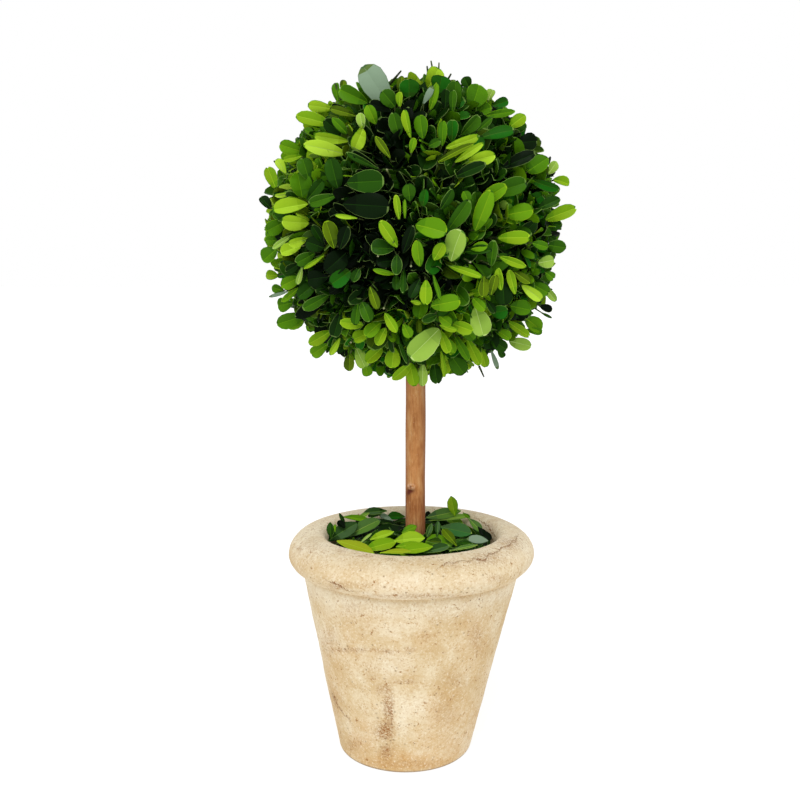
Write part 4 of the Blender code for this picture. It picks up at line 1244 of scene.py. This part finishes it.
seen_rows = np.array(BALL_LEAVES_SEEN, float)
seen_count = len(seen_rows)
seen_lightness = LIGHTNESS[seen_rows[:, 5].astype(int)]
seen_radius = (84.2 + 0.36 * seen_lightness + chance.uniform(-0.7, 0.7, seen_count)) * MM
seen_middles = on_ball((seen_rows[:, 0:2] + seen_rows[:, 2:4]) / 2, seen_radius)
sight = unit(seen_middles - CAMERA_AT)
way = photo_rays(seen_rows[:, 2:4]) - photo_rays(seen_rows[:, 0:2])
way = unit(way - dots(way, sight) * sight)
off_middle = seen_middles - BALL_CENTRE
off_middle = np.linalg.norm(off_middle - dots(off_middle, sight) * sight, axis=1)[:, None] / BALL_REACH
slope = -0.38 + 0.62 * off_middle**2 + chance.uniform(-0.15, 0.15, (seen_count, 1))
sideways = chance.normal(size=(seen_count, 1)) * 0.22
seen_normals = unit(-sight + slope * way + sideways * np.cross(sight, way))
seen_bend = chance.uniform(0.08, 0.5, seen_count)
seen_leaves = leaves_seen(seen_rows, seen_middles, seen_normals, seen_bend, chance)
seen_leaves["edge"] = seen_leaves["edge"] * np.where(seen_lightness < 3, 0.4, 1.0)
midline = np.linspace(0.0, 1.0, 6)[None, :, None] * sprig_leaves["length"][:, None, None]
midline = sprig_leaves["root"][:, None] + midline * sprig_leaves["along"][:, None]
keep = ~hides(midline, seen_rows, seen_leaves, 1.0 * MM)
print(int(keep.sum()), "sprig leaves kept and", seen_count, "seen leaves laid")
print("seen leaves' lengths in mm:", mm_range(seen_leaves["length"]))

# %% Join the leaves
# Leaves of near tones share a piece, so that each piece stays under 200,000 triangles.
TONE_GROUPS = {
    "ball_leaves_darkest": (0, 1),
    "ball_leaves_dark": (2, 11, 15),
    "ball_leaves_deep": (3, 12),
    "ball_leaves_mid": (4, 18),
    "ball_leaves_fresh": (5, 6, 10, 17),
    "ball_leaves_lime": (7, 8, 9, 13, 14, 16),
}
all_leaves = joined(picked(sprig_leaves, keep), seen_leaves)
for name, tones in TONE_GROUPS.items():
    dress("boxwood_ball", join_leaves(name, picked(all_leaves, np.isin(all_leaves["tone"], tones))))

# %% [markdown]
# ### Twigs and the dark heart
# The twigs are thin tubes, brown green, that taper from the core to the last pair. Where the
# clippers cut one, its pale wood shows. The core itself, a near-black ball, is hidden by the
# leaves but closes every gap between them; its near-black is painted shade for the deep gaps.
# All three are matt and mottled: the twigs' bark by 3 mm, the cut wood by 0.7 mm and the core by
# 4 mm.

# %% Twigs
TWIG_RADIUS, BARE_RADIUS, CUT_RADIUS, CUT_LENGTH = 0.75 * MM, 0.8 * MM, 0.6 * MM, 0.6 * MM
TWIG_DEPTH, BARE_DEPTH, CUT_REACH = 60.0 * MM, 84.0 * MM, 87.5 * MM
TWIG_SIDES = 6
# Bare twigs that the clippers left: foot and tip, across and down in the photograph.
BARE_TWIGS = [
    (429, 82, 427, 66), (435, 82, 431, 61), (438, 84, 439, 63), (444, 86, 451, 74), (390, 84, 401, 71),
    (341, 100, 335, 83), (283, 172, 274, 161), (479, 366, 484, 377),
]  # fmt: skip
# Cut twigs that point at the viewer and show their pale wood.
CUT_TWIGS = [(387, 170), (378, 256), (384, 308), (351, 342), (411, 266), (470, 262)]


def twig_rings(starts, ends, radius, taper=0.55):
    """Rings (twigs, 4, 6, 3) about lines from start to end, each thinner than the last."""
    way = (ends - starts)[:, None, None]
    one, two = [side[:, None, None] for side in across_of(unit(ends - starts))]
    share = np.linspace(0, 1, 4)[None, :, None, None]
    turn = (np.arange(TWIG_SIDES) / TWIG_SIDES * 2 * math.pi)[None, None, :, None]
    round_it = towards(one, two, turn) * radius * (1 - (1 - taper) * share)
    return starts[:, None, None] + way * share + round_it


def below_ends(ends):
    """The points in the ball that lie straight below the ends of twigs."""
    return BALL_CENTRE + unit(ends - BALL_CENTRE) * TWIG_DEPTH


clear_twigs = (stem_gap(all_sprigs["tip"]) > 8.0 * MM) | (all_sprigs["tip"][:, 2] > STEM_TOP_Z + 2 * MM)
sprig_twigs = picked(all_sprigs, clear_twigs)
cut_ends = on_ball(CUT_TWIGS, CUT_REACH)
past_roots = seen_leaves["root"] + TWIG_PAST_LEAVES * seen_leaves["along"]
starts = np.concatenate([sprig_twigs["foot"], below_ends(seen_leaves["root"]), below_ends(cut_ends)])
ends = np.concatenate([sprig_twigs["tip"], past_roots, cut_ends])
bare_rows = np.array(BARE_TWIGS, float)
bare_feet, bare_tips = on_ball(bare_rows[:, :2], BARE_DEPTH), on_ball(bare_rows[:, 2:], BALL_REACH)
bare_tubes = twig_rings(bare_feet, bare_tips, BARE_RADIUS)
twig_tubes = np.concatenate([twig_rings(starts, ends, TWIG_RADIUS), bare_tubes])
cut_tubes = twig_rings(cut_ends, cut_ends + unit(cut_ends - BALL_CENTRE) * CUT_LENGTH, CUT_RADIUS, 0.8)

twig_shades = [(0.35, "#263012"), (0.55, "#41501f"), (0.70, "#6f7c40")]
twig_material = mottled_material("boxwood_twig", 3.333, 3.0, twig_shades, Roughness=0.7, IOR=1.45)
cut_shades = [(0.35, "#6c7548"), (0.55, "#92976a"), (0.70, "#b4b690")]
cut_material = mottled_material("cut_boxwood", 0.66667, 2.0, cut_shades, Roughness=0.75, IOR=1.5)
twigs = make_piece("ball_twigs", *closed_tubes(twig_tubes), [twig_material], sharp_above=50)
cut_wood = make_piece("ball_cut_ends", *closed_tubes(cut_tubes), [cut_material], sharp_above=50)

# %% Core
CORE_RADIUS = 64.0 * MM
CORE_LUMPS = 0.02
polar = np.linspace(0.02, math.pi - 0.02, 60)
core_section = np.stack([CORE_RADIUS * np.sin(polar), -CORE_RADIUS * np.cos(polar)], axis=1)
core_rings = turned_rings(core_section, 96)
core_rings = core_rings * (1 + CORE_LUMPS * waves(core_rings, 71, 0.03))[..., None] + BALL_CENTRE
# Near black: painted shade for the gaps deep in the ball.
core_shades = [(0.35, "#050803"), (0.60, "#0e1707"), (0.75, "#1a240c")]
core_material = mottled_material("sprig_core_painted_shade", 4.1667, 5.0, core_shades, Roughness=0.95)
core = make_piece("ball_core", *closed_tubes(core_rings[None]), [core_material])
dress("boxwood_ball", twigs, cut_wood, core)

# %% [markdown]
# ## The loose leaves
# Single leaves strewn over the filling to hide it, larger and more pointed than those of the
# ball. They lie in a low heap that is highest about the stick, most of them tilted, some on
# edge. A few layers of them are scattered by the golden angle, and those that stand out in the
# picture lie where the rays through them meet the heap.

# %% Bed leaves
HEAP_Z, MOUND, MOUND_RADIUS = 130.0 * MM, 7.5 * MM, 18.0 * MM
BED_COUNT = 330
BED_TRAITS = {
    "width": (0.38, 0.50), "wedge": (0.8, 1.1), "blunt": (1.5, 2.4), "point": (0.6, 1.0),
    "cup": (-0.05, 0.18), "fold": (-0.04, 0.20), "bend": (-0.5, 0.5),
}  # fmt: skip


def heap_height(x, y):
    """The heap's height: level, with a bell-shaped mound about the stick."""
    return HEAP_Z + MOUND * bell((x - STEM_X) / MOUND_RADIUS, y / MOUND_RADIUS)


def on_heap(pixels):
    """Where rays first meet the heap, or else come near the back of the pot's mouth."""
    rays = photo_rays(pixels)
    depths = np.linspace(-48, 50, 197) * MM
    reach = (depths - CAMERA_AT[1]) / rays[:, 1:2]
    points = CAMERA_AT + rays[:, None] * reach[..., None]
    x, y, z = points[..., 0], points[..., 1], points[..., 2]
    at_wall = (y > 0) & (np.hypot(x - POT_LEAN * HEAP_Z, y) > THROAT_RADIUS - 7 * MM)
    met = (z < heap_height(x, y)) | at_wall
    return points[np.arange(len(rays)), met.argmax(axis=1)]


def in_throat(points):
    """True where points lie inside the pot's mouth and off the stick."""
    away = np.hypot(points[..., 0] - POT_LEAN * points[..., 2], points[..., 1])
    return (away < THROAT_RADIUS - 0.8 * MM) & (stem_gap(points) > 7.0 * MM)


chance = np.random.default_rng(5)
index = np.arange(BED_COUNT)
share = np.sqrt((index + 0.5) / BED_COUNT)
turn = index * GOLDEN_TURN + chance.uniform(-0.3, 0.3, BED_COUNT)
radius = share * (THROAT_RADIUS - 5.5 * MM)
bed_x, bed_y = radius * np.sin(turn) + POT_LEAN * HEAP_Z, -radius * np.cos(turn)
level = heap_height(bed_x, bed_y) - chance.uniform(1.0, 7.0, BED_COUNT) * MM
middles = np.stack([bed_x, bed_y, level], axis=1)
either_way = np.where(chance.random(BED_COUNT) < 0.5, 0.0, math.pi)
along_wall = turn + either_way + chance.normal(size=BED_COUNT) * 0.3
heading = np.where(share > 0.66, along_wall, chance.uniform(0, 2 * math.pi, BED_COUNT))
lift = np.radians(chance.uniform(-6, 15, BED_COUNT))[:, None]
flat = np.stack([np.cos(heading), np.sin(heading), 0 * heading], axis=1)
along = towards(flat, UP, lift)
tilt = chance.normal(size=(BED_COUNT, 1)) * 0.5
length = chance.uniform(19.0, 26.0, BED_COUNT) * MM
bed_leaves = {
    "root": middles - along * length[:, None] / 2,
    "along": along,
    "face": unit(UP + np.cross(flat, UP) * tilt),
    "length": length,
    **drawn(chance, BED_COUNT, BED_TRAITS),
    "twist": chance.normal(size=BED_COUNT) * 0.2,
    "notch": np.zeros(BED_COUNT),
    "ripple": chance.normal(size=BED_COUNT) * 0.2 * MM,
    "tone": np.clip(np.round(2.8 + chance.normal(size=BED_COUNT) * 1.6), 0, 9),
    "edge": chance.random(BED_COUNT),
}
bed_leaves["width"] *= length
bed_leaves["bend"] += 0.001
bed_surface = leaf_points(bed_leaves).reshape(BED_COUNT, -1, 3)
print(BED_COUNT, "loose leaves scattered, lengths in mm:", mm_range(length))

# %% Seen leaves of the bed
# Each row: root across and down, tip across and down, width in pixels, tone, tilt in degrees.
# They are in the order in which they are laid, each over the one before.
BED_LEAVES_SEEN = [
    (428, 522, 428, 511, 7, 0, 66), (345, 528, 338, 521, 7, 0, 44), (478, 527, 487, 537, 6, 0, 50),
    (405, 517, 387, 517, 8, 12, 36), (393, 521, 379, 515, 5, 14, 34), (387, 511, 363, 513, 8, 15, 40),
    (380, 515, 368, 516, 6, 3, 30), (369, 513, 360, 518, 5, 19, 34), (345, 524, 339, 513, 4, 2, 70),
    (343, 517, 370, 521, 7, 6, 34), (331, 538, 330, 522, 8, 3, 70), (335, 532, 335, 524, 3, 6, 64),
    (328, 541, 358, 523, 15, 15, 34), (345, 538, 380, 520, 13, 17, 34), (365, 543, 379, 530, 4, 3, 40),
    (360, 543, 372, 533, 3, 13, 40), (455, 516, 451, 496, 11, 7, 76), (426, 518, 461, 511, 11, 17, 40),
    (428, 521, 470, 516, 6, 19, 40), (463, 513, 470, 518, 4, 5, 50), (468, 518, 481, 532, 8, 17, 40),
    (440, 527, 472, 534, 15, 18, 40), (482, 530, 491, 540, 7, 0, 42), (488, 541, 466, 539, 9, 14, 44),
    (437, 537, 438, 521, 6, 15, 62), (427, 537, 432, 523, 6, 15, 62), (427, 541, 442, 542, 6, 11, 30),
    (457, 543, 473, 544, 5, 3, 30), (424, 553, 449, 546, 9, 15, 26), (449, 551, 478, 545, 4, 17, 30),
    (457, 546, 443, 529, 9, 10, 36), (402, 533, 417, 526, 9, 6, 62), (396, 547, 424, 545, 8, 7, 34),
    (394, 541, 425, 538, 14, 8, 50), (370, 540, 394, 532, 8, 8, 34), (365, 550, 396, 542, 12, 7, 34),
    (394, 553, 433, 547, 11, 7, 32), (380, 553, 412, 552, 5, 16, 24), (337, 541, 374, 554, 10, 16, 24),
]  # fmt: skip
LAYER_STEP = 0.24 * MM
STANDING_DEGREES = 60
LATER_TRAITS = {"blunt": (1.6, 2.6), "wedge": (0.65, 0.95), "point": (0.6, 1.0)}
bed_rows = np.array(BED_LEAVES_SEEN, float)
bed_count = len(bed_rows)
# A leaf that stands on its root rests there, and one that lies rests on its middle.
standing = bed_rows[:, 6:7] > STANDING_DEGREES
resting_pixels = np.where(standing, bed_rows[:, 0:2], (bed_rows[:, 0:2] + bed_rows[:, 2:4]) / 2)
seen_middles = on_heap(resting_pixels)
seen_middles = seen_middles + unit(CAMERA_AT - seen_middles) * LAYER_STEP * np.arange(bed_count)[:, None]
sideways = chance.normal(size=(bed_count, 1)) * 0.07
seen_normals = towards(UP, np.array([0.0, -1.0, 0.0]), np.radians(bed_rows[:, 6:7])) + RIGHT * sideways
seen_bend = chance.uniform(0.05, 0.3, bed_count)
seen_bed = leaves_seen(bed_rows, seen_middles, unit(seen_normals), seen_bend, chance)
seen_bed["fold"], seen_bed["cup"] = seen_bed["fold"] * 0.5, seen_bed["cup"] * 0.5
seen_bed.update(drawn(chance, bed_count, LATER_TRAITS))
print("seen leaves of the bed, lengths in mm:", mm_range(seen_bed["length"]))

keep_bed = in_throat(bed_surface).all(axis=1) & ~hides(bed_surface, bed_rows, seen_bed, 0.8 * MM)
dress("leaf_bed", join_leaves("loose_leaves", joined(picked(bed_leaves, keep_bed), seen_bed)))

# %% [markdown]
# ## Floor, light and world
# Product pictures like this one are taken on a light table: a pale board lit through from
# below, so that shadows on it nearly vanish. One wide lamp shines from above and behind the
# viewer, and a pale surround, whitest near the horizon, fills the shade.

# %% Stage
FLOOR_HALF_SIDE = 40.0
LAMP_TOWARDS, LAMP_DEGREES, LAMP_STRENGTH = (0.06, 0.60, -0.80), 28.0, 1.54
floor_material = new_material(
    "white_light_table",
    Base_Color=linear("#949494"),
    Roughness=0.9,
    Emission_Color=linear("#ffffff"),
    Emission_Strength=0.78,
)
floor_points = np.array([[-1, -1, 0], [1, -1, 0], [1, 1, 0], [-1, 1, 0]], float) * FLOOR_HALF_SIDE
floor = make_piece("floor", floor_points, [np.array([[0, 1, 2, 3]])], [floor_material])

# The surround is white up to a height of 0.29 of its way up, and dims to 0.62 at 0.38.
scene = bpy.context.scene
scene.world = bpy.data.worlds.new("studio")
scene.world.use_nodes = True
tree = scene.world.node_tree
direction = add_node(tree, "ShaderNodeTexCoord").outputs["Generated"]
height = add_node(tree, "ShaderNodeSeparateXYZ", {0: direction}).outputs[2]
background = tree.nodes["Background"]
background.inputs["Color"].default_value = linear("#ffffff")
tree.links.new(strength(tree, (height, 0.29, 0.38, 1.0, 0.62)), background.inputs["Strength"])

lamp = bpy.data.objects.new("key_lamp", bpy.data.lights.new("key_lamp", "SUN"))
lamp.data.angle, lamp.data.energy = math.radians(LAMP_DEGREES), LAMP_STRENGTH
lamp.rotation_euler = Vector(LAMP_TOWARDS).to_track_quat("-Z", "Y").to_euler()
scene.collection.objects.link(lamp)
scene.view_settings.view_transform = "Standard"
scene.view_settings.look = "None"
scene.view_settings.exposure = 0.0
print("floor, surround and lamp")
